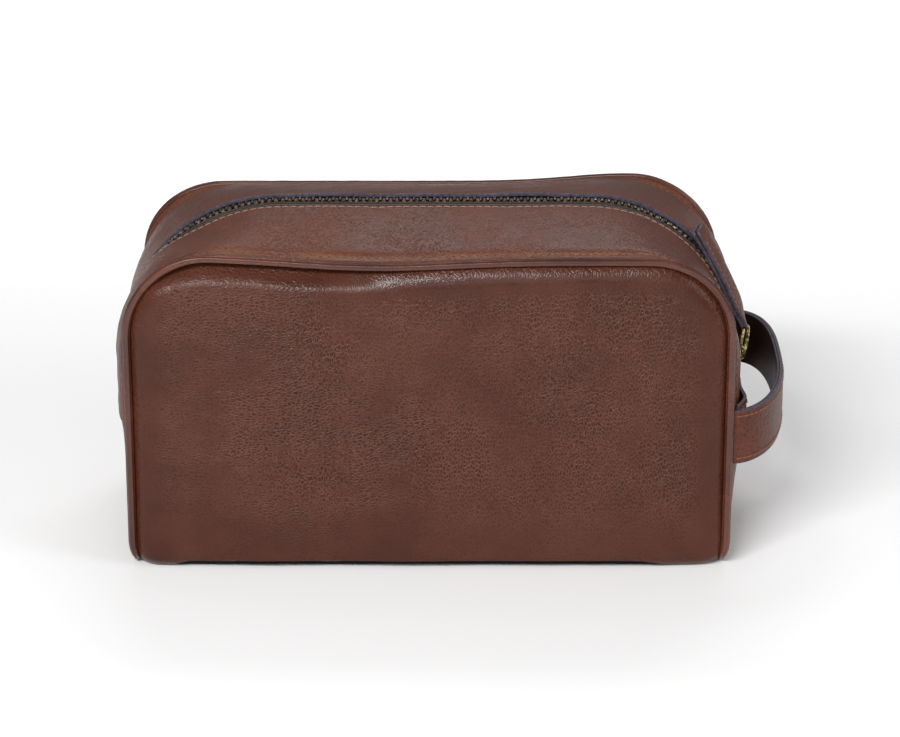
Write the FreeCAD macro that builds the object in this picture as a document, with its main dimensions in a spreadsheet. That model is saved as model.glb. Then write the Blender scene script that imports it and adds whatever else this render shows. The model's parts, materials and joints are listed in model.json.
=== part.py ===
import FreeCAD, Part
import Sketcher
import math
import os

# Shaving kit bag: a leather wash bag with a zip round its gusset and a side handle.
# Millimetres. Origin at the middle of the base, +X to the handle end, -Y to the front, +Z up.

doc = FreeCAD.newDocument("shavingKitBag")
sheet = doc.addObject("Spreadsheet::Sheet", "sizes")

drivingSizes = {
    # front, base and back panel
    "panelHalfWidth": 128.7,
    "panelTop": 141.2,
    "panelHalfDepth": 58.0,
    "panelCorner": 34.0,
    "baseRoll": 7.0,
    "leather": 1.8,
    "lining": 0.6,
    "layerGap": 0.1,
    "interlining": 0.8,
    "interliningDrop": 5.0,
    "liningDrop": 2.0,
    "liningInset": 2.5,
    "liningRoll": 4.0,
    "interliningInset": 2.0,
    "interliningLift": 8.0,
    "boardThick": 2.0,
    "boardHalfWidth": 124.0,
    "boardHalfDepth": 44.0,
    "boardCorner": 8.0,
    # piping round both faces and along the ends of the base
    "pipingRadius": 1.75,
    "pipingCordRadius": 1.1,
    "pipingHalfWidth": 130.75,
    "pipingTop": 143.25,
    "pipingHalfDepth": 58.25,
    "pipingLow": 2.05,
    # gusset sections: beside the seam, at its crown and beside the zip
    "seamDistance": 55.2,
    "seamCentre": 95.0,
    "seamRadius": 36.5,
    "seamTop": 144.0,
    "crownDistance": 30.0,
    "crownCentre": 82.8,
    "crownRadius": 54.0,
    "crownTop": 151.0,
    "zipDistance": 4.2,
    "zipCentre": 70.0,
    "zipRadius": 68.5,
    "zipTop": 153.5,
    "flapHalf": 68.6,
    "cornerStart": 69.0,
    "cornerLow": 65.0,
    "liningSeam": 53.6,
    "liningEdge": 6.5,
    # zip
    "tapeOuter": 12.0,
    "tapeInner": 2.75,
    "tapeThick": 0.6,
    "toothPitch": 3.0,
    "toothWidth": 1.15,
    "toothOuter": 2.6,
    "toothInner": -0.6,
    "toothDepth": 1.0,
    "toothHeight": 2.4,
    "stopLow": 66.0,
    "stopHeight": 2.6,
    # lower side panels, with how much of the bulge is left at each height
    "sideLow": 4.3,
    "sideRoll": 12.0,
    "sideLowDepth": 48.8,
    "sideMiddle": 32.0,
    "sideTop": 64.7,
    "lowBulge": 0.1,
    "rollBulge": 0.3,
    "middleBulge": 0.75,
    # handle
    "patchLow": 49.0,
    "patchTop": 75.5,
    "patchThick": 1.5,
    "strapLow": 49.0,
    "strapTop": 75.5,
    "strapStart": 133.8,
    "strapReach": 161.0,
    "strapHalfSpan": 57.6,
    "strapBend": 24.0,
    "strapLining": 1.1,
    "strapCore": 0.8,
    "strapOuter": 1.4,
    "coreInset": 1.5,
    # slider, ring and puller
    "sliderLow": 75.8,
    "sliderLength": 12.0,
    "sliderHalf": 3.9,
    "sliderWall": 0.8,
    "sliderProud": 1.6,
    "sliderRoof": 0.4,
    "sliderFlange": 1.5,
    "sliderSole": 4.6,
    "sliderSoleThick": 1.0,
    "sliderSoleFlange": 3.9,
    "bailWidth": 2.2,
    "bailWire": 1.2,
    "bailRise": 3.8,
    "bailHalf": 4.0,
    "bailMiddle": 80.0,
    "ringWire": 0.8,
    "ringPivotX": 141.3,
    "ringPivotZ": 79.2,
    "ringReach": 13.0,
    "ringLean": 5.0,
    "ringHalfWidth": 4.3,
    "ringCorner": 3.2,
    "pullerLean": 19.9,
    "pullerLength": 52.0,
    "pullerStart": 2.2,
    "pullerHalfWidth": 5.5,
    "pullerLayer": 1.35,
    "pullerCorner": 1.8,
    "loopHalfWidth": 2.9,
    "loopBore": 0.9,
    "loopRadius": 1.4,
}


def fillSheet():
    for row, (name, value) in enumerate(drivingSizes.items(), start=1):
        sheet.set(f"A{row}", name)
        sheet.set(f"B{row}", str(value))
        sheet.setAlias(f"B{row}", name)
    doc.recompute()


def cell(name):
    return f"sizes.{name}"


def measure(expression):
    """Value of a sheet expression in millimetres or degrees."""
    value = sheet.evalExpression(str(expression))
    return float(getattr(value, "Value", value))


# ---- sketch helpers -------------------------------------------------------

def newSketch(body, name, role, offset="0"):
    """Empty sketch on one of the body's origin planes, moved along its normal."""
    sketch = body.newObject("Sketcher::SketchObject", name)
    plane = next(f for f in body.Origin.OriginFeatures if f.Role == role)
    sketch.AttachmentSupport = [(plane, "")]
    sketch.MapMode = "FlatFace"
    sketch.setExpression("AttachmentOffset.Base.z", str(offset))
    return sketch


def bind(sketch, kind, target, expression):
    """Dimension of a point from the sketch's origin, or a radius, tied to the sheet."""
    value = measure(expression)
    if kind == "Radius":
        constraint = Sketcher.Constraint(kind, target, value)
    else:
        constraint = Sketcher.Constraint(kind, -1, 1, target[0], target[1], value)
    index = sketch.addConstraint(constraint)
    sketch.setExpression(f"Constraints[{index}]", str(expression))


def joinEnds(sketch, count):
    for edge in range(count):
        after = (edge + 1) % count
        sketch.addConstraint(Sketcher.Constraint("Coincident", edge, 2, after, 1))


def polygonSketch(body, name, role, corners, offset="0"):
    """Closed straight-sided outline; each corner is a pair of sheet expressions."""
    sketch = newSketch(body, name, role, offset)
    points = [FreeCAD.Vector(measure(across), measure(up), 0) for across, up in corners]
    for edge, start in enumerate(points):
        sketch.addGeometry(Part.LineSegment(start, points[(edge + 1) % len(points)]))
    joinEnds(sketch, len(points))
    for edge, (across, up) in enumerate(corners):
        bind(sketch, "DistanceX", (edge, 1), across)
        bind(sketch, "DistanceY", (edge, 1), up)
    return sketch


def arcBetween(centre, radius, first, last):
    """Arc of a circle in the sketch plane, from one angle to another in degrees."""
    circle = Part.Circle(centre, FreeCAD.Vector(0, 0, 1), radius)
    return Part.ArcOfCircle(circle, math.radians(first), math.radians(last))


def cornerBandSketch(body, name, offset, start, centreX, centreZ, outer, inner, low):
    """Band that runs along the top, round a quarter turn and down the side."""
    sketch = newSketch(body, name, "XZ_Plane", offset)
    x0, cx, cz, big, small, zLow = (measure(e) for e in (start, centreX, centreZ, outer, inner, low))
    centre = FreeCAD.Vector(cx, cz, 0)
    point = FreeCAD.Vector
    sketch.addGeometry(Part.LineSegment(point(cx, cz + big, 0), point(x0, cz + big, 0)))
    sketch.addGeometry(Part.LineSegment(point(x0, cz + big, 0), point(x0, cz + small, 0)))
    sketch.addGeometry(Part.LineSegment(point(x0, cz + small, 0), point(cx, cz + small, 0)))
    sketch.addGeometry(arcBetween(centre, small, 0, 90))
    sketch.addGeometry(Part.LineSegment(point(cx + small, cz, 0), point(cx + small, zLow, 0)))
    sketch.addGeometry(Part.LineSegment(point(cx + small, zLow, 0), point(cx + big, zLow, 0)))
    sketch.addGeometry(Part.LineSegment(point(cx + big, zLow, 0), point(cx + big, cz, 0)))
    sketch.addGeometry(arcBetween(centre, big, 0, 90))
    topOut, firstDrop, topIn, arcIn, sideIn, foot, sideOut, arcOut = range(8)
    for first, firstEnd, second, secondEnd in (
        (topOut, 2, firstDrop, 1), (firstDrop, 2, topIn, 1), (topIn, 2, arcIn, 2), (arcIn, 1, sideIn, 1),
        (sideIn, 2, foot, 1), (foot, 2, sideOut, 1), (sideOut, 2, arcOut, 1), (arcOut, 2, topOut, 1),
        (arcIn, 3, arcOut, 3),
    ):
        sketch.addConstraint(Sketcher.Constraint("Coincident", first, firstEnd, second, secondEnd))
    for edge in (topOut, topIn, foot):
        sketch.addConstraint(Sketcher.Constraint("Horizontal", edge))
    for edge in (firstDrop, sideIn, sideOut):
        sketch.addConstraint(Sketcher.Constraint("Vertical", edge))
    for arc in (arcIn, arcOut):
        sketch.addConstraint(Sketcher.Constraint("Vertical", arc, 3, arc, 2))
        sketch.addConstraint(Sketcher.Constraint("Horizontal", arc, 3, arc, 1))
    bind(sketch, "Radius", arcIn, inner)
    bind(sketch, "Radius", arcOut, outer)
    bind(sketch, "DistanceX", (arcOut, 3), centreX)
    bind(sketch, "DistanceY", (arcOut, 3), centreZ)
    bind(sketch, "DistanceX", (firstDrop, 1), start)
    bind(sketch, "DistanceY", (foot, 1), low)
    return sketch


def pad(body, sketch, length, symmetric=False):
    feature = body.newObject("PartDesign::Pad", f"{body.Name}_pad")
    feature.Profile = sketch
    if symmetric:
        feature.SideType = "Symmetric"
    feature.setExpression("Length", str(length))
    sketch.Visibility = False
    doc.recompute()
    return feature


def loft(body, sketches):
    feature = body.newObject("PartDesign::AdditiveLoft", f"{body.Name}_loft")
    feature.Profile = sketches[0]
    feature.Sections = sketches[1:]
    feature.Ruled = True
    doc.recompute()
    return feature


def filletWhere(body, radius, chosen):
    """Round the edges of the body's tip that pass a test."""
    tip = body.Tip
    names = [f"Edge{i}" for i, edge in enumerate(tip.Shape.Edges, start=1) if chosen(edge)]
    feature = body.newObject("PartDesign::Fillet", f"{body.Name}_round_{len(body.Group)}")
    feature.Base = (tip, names)
    feature.setExpression("Radius", str(radius))
    doc.recompute()
    return feature


def runsAlong(edge, axis):
    if not isinstance(edge.Curve, Part.Line):
        return False
    return abs(abs(edge.Curve.Direction.dot(axis)) - 1) < 1e-6


def newBody(label):
    body = doc.addObject("PartDesign::Body", label)
    body.Label = label
    return body


def mirrored(source, label, normal):
    copy = doc.addObject("Part::Mirroring", label)
    copy.Label = label
    copy.Source = source
    copy.Base = FreeCAD.Vector(0, 0, 0)
    copy.Normal = normal
    doc.recompute()
    return copy


def solidFeature(label, shape):
    feature = doc.addObject("Part::Feature", label)
    feature.Label = label
    feature.Shape = shape
    feature.Placement = FreeCAD.Placement()
    return feature


xAxis = FreeCAD.Vector(1, 0, 0)
yAxis = FreeCAD.Vector(0, 1, 0)
zAxis = FreeCAD.Vector(0, 0, 1)

# ---- panels ---------------------------------------------------------------


def wrapPanel(label, halfDepth, low, thick, halfWidth, top, cornerRadius, rollRadius):
    """U-shaped sheet: front wall, base and back wall in one, with round top corners."""
    body = newBody(label)
    innerDepth = f"({halfDepth} - {thick})"
    innerLow = f"({low} + {thick})"
    corners = [
        (f"-({halfDepth})", top), (f"-({halfDepth})", low), (halfDepth, low), (halfDepth, top),
        (innerDepth, top), (innerDepth, innerLow), (f"-{innerDepth}", innerLow), (f"-{innerDepth}", top),
    ]
    pad(body, polygonSketch(body, f"{label}_section", "YZ_Plane", corners), f"2 * ({halfWidth})", True)
    lowest = measure(low)
    inside = measure(innerLow)
    filletWhere(body, rollRadius, lambda e: runsAlong(e, xAxis) and abs(e.CenterOfMass.z - lowest) < 1e-6)
    filletWhere(body, f"{rollRadius} - {thick}",
                lambda e: runsAlong(e, xAxis) and abs(e.CenterOfMass.z - inside) < 1e-6)
    highest = measure(top)
    filletWhere(body, cornerRadius,
                lambda e: runsAlong(e, yAxis) and abs(e.CenterOfMass.z - highest) < 1e-6)
    return body


def flatPanel(label, nearDistance, thick, halfWidth, low, top, cornerRadius):
    """Upright sheet behind the front wall, with round top corners."""
    body = newBody(label)
    corners = [(f"-({halfWidth})", low), (halfWidth, low), (halfWidth, top), (f"-({halfWidth})", top)]
    sketch = polygonSketch(body, f"{label}_outline", "XZ_Plane", corners, f"{nearDistance} - {thick}")
    pad(body, sketch, thick)
    highest = measure(top)
    filletWhere(body, cornerRadius,
                lambda e: runsAlong(e, yAxis) and abs(e.CenterOfMass.z - highest) < 1e-6)
    return body


def baseBoard(label):
    body = newBody(label)
    halfWidth, halfDepth = cell("boardHalfWidth"), cell("boardHalfDepth")
    corners = [(f"-{halfWidth}", f"-{halfDepth}"), (halfWidth, f"-{halfDepth}"),
               (halfWidth, halfDepth), (f"-{halfWidth}", halfDepth)]
    low = f"{cell('leather')} + {cell('layerGap')}"
    pad(body, polygonSketch(body, f"{label}_outline", "XY_Plane", corners, low), cell("boardThick"))
    filletWhere(body, cell("boardCorner"), lambda e: runsAlong(e, zAxis))
    return body


# ---- gusset ---------------------------------------------------------------


def gussetSize(quantity, distance):
    """Centre, Radius or Top of the gusset's outline at a distance from the zip plane.

    The value runs in straight lines between the seam, crown and zip sections.
    """
    at = measure(distance)
    if at <= measure(cell("zipDistance")):
        return cell("zip" + quantity)
    near, far = ("crown", "zip") if at < measure(cell("crownDistance")) else ("seam", "crown")
    a, b = cell(near + quantity), cell(far + quantity)
    ya, yb = cell(near + "Distance"), cell(far + "Distance")
    return f"({a} + ({b} - {a}) * ({ya} - ({distance})) / ({ya} - {yb}))"


def cornerShell(label, distances, outerDepth, innerDepth):
    """Right front corner of a gusset layer, lofted between sections across the gusset."""
    body = newBody(label)
    sketches = []
    for index, distance in enumerate(distances):
        radius = gussetSize("Radius", distance)
        sketches.append(cornerBandSketch(
            body, f"{label}_section_{index}", distance, cell("cornerStart"),
            gussetSize("Centre", distance), f"{gussetSize('Top', distance)} - {radius}",
            f"{radius} - {outerDepth}", f"{radius} - {innerDepth}", cell("cornerLow")))
    loft(body, sketches)
    return body


def topStrip(label, distances, outerDepth, innerDepth):
    """Straight front half of a gusset layer between the two corners."""
    body = newBody(label)
    outer = [(f"-({d})", f"{gussetSize('Top', d)} - {outerDepth}") for d in distances]
    inner = [(f"-({d})", f"{gussetSize('Top', d)} - {innerDepth}") for d in reversed(distances)]
    sketch = polygonSketch(body, f"{label}_section", "YZ_Plane", outer + inner)
    pad(body, sketch, f"2 * {cell('flapHalf')}", True)
    return body


def gussetLayers():
    """Leather, tape and lining of every part of the gusset, front and back."""
    leather = cell("leather")
    tapeTop = f"({leather} + {cell('layerGap')})"
    tapeLow = f"({tapeTop} + {cell('tapeThick')})"
    liningTop = f"({tapeLow} + {cell('layerGap')})"
    liningLow = f"({liningTop} + {cell('lining')})"
    layers = {
        "gusset": ([cell("seamDistance"), cell("crownDistance"), cell("zipDistance")], "0", leather),
        "zip_tape": ([cell("tapeOuter"), cell("zipDistance"), cell("tapeInner")], tapeTop, tapeLow),
        "gusset_lining": ([cell("liningSeam"), cell("crownDistance"), cell("liningEdge")],
                          liningTop, liningLow),
    }
    made = []
    for layer, (distances, outerDepth, innerDepth) in layers.items():
        right = cornerShell(f"front_right_{layer}", distances, outerDepth, innerDepth)
        top = topStrip(f"front_top_{layer}", distances, outerDepth, innerDepth)
        left = mirrored(right, f"front_left_{layer}", xAxis)
        made += [right, top, left]
        made += [mirrored(piece, piece.Label.replace("front", "back"), yAxis) for piece in (right, top, left)]
    return made


# ---- lower side panels and handle patch -----------------------------------


def sideSection(body, name, height, bulge, seamDistance, outerDepth, innerDepth):
    """Level section of a side panel layer: a shallow crowned band from seam to seam."""
    seamHalf = f"({cell('seamCentre')} + {cell('seamRadius')})"
    distances = (seamDistance, cell("crownDistance"), cell("zipDistance"))
    halves = (f"({cell(s + 'Centre')} + {cell(s + 'Radius')})" for s in ("seam", "crown", "zip"))
    across = list(zip(distances, halves))
    outline = [(f"-{d}", half) for d, half in across] + [(d, half) for d, half in reversed(across)]
    outer = [(f"{seamHalf} + ({half} - {seamHalf}) * {bulge} - ({outerDepth})", d) for d, half in outline]
    inner = [(f"{seamHalf} + ({half} - {seamHalf}) * {bulge} - ({innerDepth})", d)
             for d, half in reversed(outline)]
    return polygonSketch(body, name, "XY_Plane", outer + inner, height)


def sideLayer(label, levels, outerDepth, innerDepth):
    body = newBody(label)
    sections = []
    for index, (height, bulge, seamDistance) in enumerate(levels):
        sections.append(sideSection(body, f"{label}_section_{index}", height, bulge, seamDistance,
                                    outerDepth, innerDepth))
    loft(body, sections)
    return body


def sidePanels():
    seam = cell("seamDistance")
    levels = [(cell("sideLow"), cell("lowBulge"), cell("sideLowDepth")),
              (cell("sideRoll"), cell("rollBulge"), seam),
              (cell("sideMiddle"), cell("middleBulge"), seam), (cell("sideTop"), "1", seam)]
    liningTop = f"({cell('leather')} + {cell('layerGap')})"
    right = sideLayer("right_side_panel", levels, "0", cell("leather"))
    lining = sideLayer("right_side_lining", levels, liningTop, f"({liningTop} + {cell('lining')})")
    patchBulge = (f"({cell('middleBulge')} + (1 - {cell('middleBulge')}) * ({cell('patchLow')}"
                  f" - {cell('sideMiddle')}) / ({cell('sideTop')} - {cell('sideMiddle')}))")
    patchLevels = [(cell("patchLow"), patchBulge, seam), (cell("sideTop"), "1", seam),
                   (cell("patchTop"), "1", seam)]
    proud = f"-({cell('layerGap')} + {cell('patchThick')})"
    patch = sideLayer("handle_patch", patchLevels, proud, f"-{cell('layerGap')}")
    return [right, lining, patch, mirrored(right, "left_side_panel", xAxis),
            mirrored(lining, "left_side_lining", xAxis)]


# ---- handle ---------------------------------------------------------------


def strapLayer(label, outset, thick, inset):
    """One layer of the bowed strap: a U in plan, open to the bag, with round bends."""
    body = newBody(label)
    start, reach, span = cell("strapStart"), cell("strapReach"), cell("strapHalfSpan")
    outX, outY = f"({reach} - ({outset}))", f"({span} - ({outset}))"
    inX, inY = f"({outX} - {thick})", f"({outY} - {thick})"
    corners = [(start, f"-{outY}"), (outX, f"-{outY}"), (outX, outY), (start, outY),
               (start, inY), (inX, inY), (inX, f"-{inY}"), (start, f"-{inY}")]
    sketch = polygonSketch(body, f"{label}_plan", "XY_Plane", corners, f"{cell('strapLow')} + {inset}")
    pad(body, sketch, f"{cell('strapTop')} - {cell('strapLow')} - 2 * {inset}")
    for face, radius in ((outX, f"{cell('strapBend')} - ({outset})"),
                         (inX, f"{cell('strapBend')} - ({outset}) - {thick}")):
        at = measure(face)
        filletWhere(body, radius, lambda e: runsAlong(e, zAxis) and abs(e.CenterOfMass.x - at) < 1e-6)
    return body


def handleStrap():
    gap, outer, core = cell("layerGap"), cell("strapOuter"), cell("strapCore")
    coreOutset = f"({outer} + {gap})"
    return [
        strapLayer("handle_outer", "0", outer, "0"),
        strapLayer("handle_core", coreOutset, core, cell("coreInset")),
        strapLayer("handle_lining", f"({coreOutset} + {core} + {gap})", cell("strapLining"), "0"),
    ]


# ---- piping ---------------------------------------------------------------


def roundTube(runs, radius, hollow=0.0):
    """Round tube along a wire of lines and arcs, hollow where an inner radius is given."""
    wire = Part.Wire(runs)
    start = wire.Edges[0].valueAt(wire.Edges[0].FirstParameter)
    along = wire.Edges[0].tangentAt(wire.Edges[0].FirstParameter)

    def swept(r):
        profile = Part.Wire(Part.makeCircle(r, start, along))
        return wire.makePipeShell([profile], True, False, 2)

    tube = swept(radius)
    return tube.cut(swept(hollow)) if hollow else tube


def arcEdge(centre, first, last):
    """Short arc about a centre from one point to another."""
    middle = (first - centre) + (last - centre)
    middle.normalize()
    middle.multiply((first - centre).Length)
    return Part.Arc(first, centre + middle, last).toShape()


def pipingPath():
    """Front piping line, from the middle of one base end over the top to the other."""
    half, top, depth, low = (measure(cell(n)) for n in
                             ("pipingHalfWidth", "pipingTop", "pipingHalfDepth", "pipingLow"))
    roll, corner = measure(cell("baseRoll")), measure(cell("seamRadius"))
    point = FreeCAD.Vector

    def endRuns(side):
        atBase = point(side * half, 0, low)
        rollStart = point(side * half, roll - depth, low)
        rollEnd = point(side * half, -depth, low + roll)
        cornerStart = point(side * half, -depth, top - corner)
        return [
            Part.LineSegment(atBase, rollStart).toShape(),
            arcEdge(point(side * half, roll - depth, low + roll), rollStart, rollEnd),
            Part.LineSegment(rollEnd, cornerStart).toShape(),
            arcEdge(point(side * (half - corner), -depth, top - corner), cornerStart,
                    point(side * (half - corner), -depth, top)),
        ]

    across = Part.LineSegment(point(corner - half, -depth, top), point(half - corner, -depth, top))
    return endRuns(-1) + [across.toShape()] + list(reversed(endRuns(1)))


def piping():
    path = Part.__sortEdges__(pipingPath())
    skin = measure(cell("pipingRadius"))
    cord = measure(cell("pipingCordRadius"))
    frontSkin = solidFeature("front_piping", roundTube(path, skin, cord + measure(cell("layerGap")) / 2))
    frontCord = solidFeature("front_piping_cord", roundTube(path, cord))
    return [frontSkin, frontCord, mirrored(frontSkin, "back_piping", yAxis),
            mirrored(frontCord, "back_piping_cord", yAxis)]


# ---- zip teeth and stops --------------------------------------------------


def tooth(alongOffset, turn=0.0):
    """One front-row tooth standing on the right side, or turned about the corner's centre."""
    depth, height, width = (measure(cell(n)) for n in ("toothDepth", "toothHeight", "toothWidth"))
    outer, inner = measure(cell("toothOuter")), measure(cell("toothInner"))
    centreX, radius = measure(cell("zipCentre")), measure(cell("zipRadius"))
    centreZ = measure(cell("zipTop")) - radius
    corner = FreeCAD.Vector(centreX + radius - depth - height, -outer, centreZ + alongOffset - width / 2)
    shape = Part.makeBox(height, outer - inner, width, corner)
    if turn:
        shape.rotate(FreeCAD.Vector(centreX, 0, centreZ), yAxis, -turn)
    return shape


def topTooth(x):
    shape = tooth(0.0, 90.0)
    shape.translate(FreeCAD.Vector(x - measure(cell("zipCentre")), 0, 0))
    return shape


def toothRows():
    """Front and back rows, half a pitch apart so that they interleave."""
    pitch = measure(cell("toothPitch"))
    radius, centreZ = measure(cell("zipRadius")), measure(f"{cell('zipTop')} - {cell('zipRadius')}")
    first = measure(f"{cell('stopLow')} + {cell('stopHeight')}")
    straightCount = int((centreZ - first) // pitch)
    arcCount = int(math.radians(90) * (radius - measure(cell("toothDepth"))) // pitch)
    topCount = int(2 * measure(cell("flapHalf")) // pitch)
    rows = []
    for side, phase in (("front", 0.25), ("back", 0.75)):
        corner = [tooth(pitch * (k + phase - straightCount)) for k in range(straightCount)]
        corner += [tooth(0.0, 90.0 * (k + phase) / arcCount) for k in range(arcCount)]
        top = [topTooth(pitch * (k + phase - topCount / 2)) for k in range(topCount)]
        right = Part.makeCompound(corner)
        straight = Part.makeCompound(top)
        if side == "back":
            right = right.mirror(FreeCAD.Vector(0, 0, 0), yAxis)
            straight = straight.mirror(FreeCAD.Vector(0, 0, 0), yAxis)
        made = solidFeature(f"{side}_right_zip_teeth", right)
        rows += [made, solidFeature(f"{side}_top_zip_teeth", straight),
                 mirrored(made, f"{side}_left_zip_teeth", xAxis)]
    return rows


def zipStops():
    """Blocks that close the chain at both ends."""
    right = doc.addObject("Part::Box", "right_zip_stop")
    right.Label = "right_zip_stop"
    right.setExpression("Length", cell("toothHeight"))
    right.setExpression("Width", f"2 * {cell('toothOuter')}")
    right.setExpression("Height", cell("stopHeight"))
    right.setExpression("Placement.Base.x", f"{cell('zipCentre')} + {cell('zipRadius')}"
                        f" - {cell('toothDepth')} - {cell('toothHeight')}")
    right.setExpression("Placement.Base.y", f"-{cell('toothOuter')}")
    right.setExpression("Placement.Base.z", cell("stopLow"))
    doc.recompute()
    return [right, mirrored(right, "left_zip_stop", xAxis)]


# ---- slider, ring and puller ----------------------------------------------


def channel(label, plateOut, plateIn, flangeEnd):
    """Flat plate with a flange along each side, run up the side of the bag."""
    body = newBody(label)
    face = f"({cell('zipCentre')} + {cell('zipRadius')})"
    half, wall = cell("sliderHalf"), cell("sliderWall")
    outX, inX, flangeX = (f"{face} - ({depth})" for depth in (plateOut, plateIn, flangeEnd))
    corners = [
        (outX, f"-{half}"), (outX, half), (flangeX, half), (flangeX, f"{half} - {wall}"),
        (inX, f"{half} - {wall}"), (inX, f"{wall} - {half}"), (flangeX, f"{wall} - {half}"),
        (flangeX, f"-{half}"),
    ]
    sketch = polygonSketch(body, f"{label}_section", "XY_Plane", corners, cell("sliderLow"))
    pad(body, sketch, cell("sliderLength"))
    return body


def sliderBail():
    """Bridge on the slider that holds the ring."""
    body = newBody("slider_bail")
    plate = f"({cell('zipCentre')} + {cell('zipRadius')} + {cell('sliderProud')})"
    middle, half, wire = cell("bailMiddle"), cell("bailHalf"), cell("bailWire")
    crown = f"{plate} + {cell('bailRise')}"
    corners = [
        (plate, f"{middle} - {half}"), (crown, f"{middle} - {half} + {wire}"),
        (crown, f"{middle} + {half} - {wire}"), (plate, f"{middle} + {half}"),
        (plate, f"{middle} + {half} - {wire}"), (f"{crown} - {wire}", f"{middle} + {half} - 2 * {wire}"),
        (f"{crown} - {wire}", f"{middle} - {half} + 2 * {wire}"), (plate, f"{middle} - {half} + {wire}"),
    ]
    pad(body, polygonSketch(body, "slider_bail_side", "XZ_Plane", corners), cell("bailWidth"), True)
    return body


def pullRing():
    """Oval wire ring; its lower bar turns in the bail and its upper bar carries the puller."""
    reach, half, corner = (measure(cell(n)) for n in ("ringReach", "ringHalfWidth", "ringCorner"))
    point = FreeCAD.Vector
    runs = []
    for side in (-1, 1):
        runs.append(Part.LineSegment(point(0, side * half, corner), point(0, side * half, reach - corner)))
    for level in (0, reach):
        runs.append(Part.LineSegment(point(0, corner - half, level), point(0, half - corner, level)))
    edges = [run.toShape() for run in runs]
    for side in (-1, 1):
        for level, inward in ((0, 1), (reach, -1)):
            centre = point(0, side * (half - corner), level + inward * corner)
            edges.append(arcEdge(centre, point(0, side * half, level + inward * corner),
                                 point(0, side * (half - corner), level)))
    ring = solidFeature("pull_ring", roundTube(Part.__sortEdges__(edges), measure(cell("ringWire"))))
    ring.Placement = FreeCAD.Placement(
        point(measure(cell("ringPivotX")), 0, measure(cell("ringPivotZ"))),
        FreeCAD.Rotation(yAxis, measure(cell("ringLean"))))
    return ring


def placePuller(piece):
    """Stand a puller piece on the ring's upper bar and lean it in over the bag's corner."""
    lean = f"{cell('ringLean')} * 1 deg"
    turned = FreeCAD.Rotation(-yAxis, measure(cell("pullerLean")))
    piece.Placement = FreeCAD.Placement(FreeCAD.Vector(), turned)
    piece.setExpression("Placement.Base.x", f"{cell('ringPivotX')} + {cell('ringReach')} * sin({lean})")
    piece.setExpression("Placement.Base.z", f"{cell('ringPivotZ')} + {cell('ringReach')} * cos({lean})")
    piece.setExpression("Placement.Rotation.Angle", cell("pullerLean"))
    doc.recompute()
    return piece


def pullerLayer(label, side):
    """One leather layer of the puller, on one side of its middle plane."""
    body = newBody(label)
    half, start, end = cell("pullerHalfWidth"), cell("pullerStart"), cell("pullerLength")
    corners = [(f"-{half}", start), (half, start), (half, end), (f"-{half}", end)]
    gap = f"{cell('layerGap')} / 2"
    offset = gap if side > 0 else f"-({gap} + {cell('pullerLayer')})"
    pad(body, polygonSketch(body, f"{label}_outline", "YZ_Plane", corners, offset), cell("pullerLayer"))
    filletWhere(body, cell("pullerCorner"), lambda e: runsAlong(e, xAxis))
    return placePuller(body)


def pullerLoop():
    """Narrow fold of the puller that wraps the ring's upper bar."""
    outer = doc.addObject("Part::Cylinder", "puller_loop_outside")
    bore = doc.addObject("Part::Cylinder", "puller_loop_bore")
    for cylinder, radius in ((outer, cell("loopRadius")), (bore, cell("loopBore"))):
        cylinder.setExpression("Radius", radius)
        cylinder.setExpression("Height", f"2 * {cell('loopHalfWidth')}")
        cylinder.Placement = FreeCAD.Placement(FreeCAD.Vector(0, 0, 0), FreeCAD.Rotation(xAxis, 90))
        cylinder.setExpression("Placement.Base.y", cell("loopHalfWidth"))
    loop = doc.addObject("Part::Cut", "puller_loop")
    loop.Label = "puller_loop"
    loop.Base = outer
    loop.Tool = bore
    return placePuller(loop)


def sliderAndPuller():
    proud = f"-{cell('sliderProud')}"
    sole = f"({cell('sliderSole')} + {cell('sliderSoleThick')})"
    return [
        channel("slider_upper_wing", proud, cell("sliderRoof"), cell("sliderFlange")),
        channel("slider_lower_wing", sole, cell("sliderSole"), cell("sliderSoleFlange")),
        sliderBail(), pullRing(), pullerLoop(),
        pullerLayer("puller_front", 1), pullerLayer("puller_back", -1),
    ]


# ---- build and write ------------------------------------------------------


def panels():
    leather, gap, interlining = cell("leather"), cell("layerGap"), cell("interlining")
    insideLeather = f"({cell('panelHalfDepth')} - {leather} - {gap})"
    insideInterlining = f"({insideLeather} - {interlining} - {gap})"
    liningLow = f"({leather} + {gap} + {cell('boardThick')} + {gap})"
    liningTop = f"({cell('panelTop')} - {cell('liningDrop')})"
    interliningTop = f"({cell('panelTop')} - {cell('interliningDrop')})"
    wrap = wrapPanel("body_wrap", cell("panelHalfDepth"), "0", leather, cell("panelHalfWidth"),
                     cell("panelTop"), cell("panelCorner"), cell("baseRoll"))
    lining = wrapPanel("body_lining", insideInterlining, liningLow, cell("lining"),
                       f"({cell('panelHalfWidth')} - {cell('liningInset')})", liningTop, cell("panelCorner"),
                       cell("liningRoll"))
    front = flatPanel("front_interlining", insideLeather, interlining,
                      f"({cell('panelHalfWidth')} - {cell('interliningInset')})",
                      cell("interliningLift"), interliningTop, cell("panelCorner"))
    return [wrap, lining, front, mirrored(front, "back_interlining", yAxis), baseBoard("base_board")]


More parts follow.
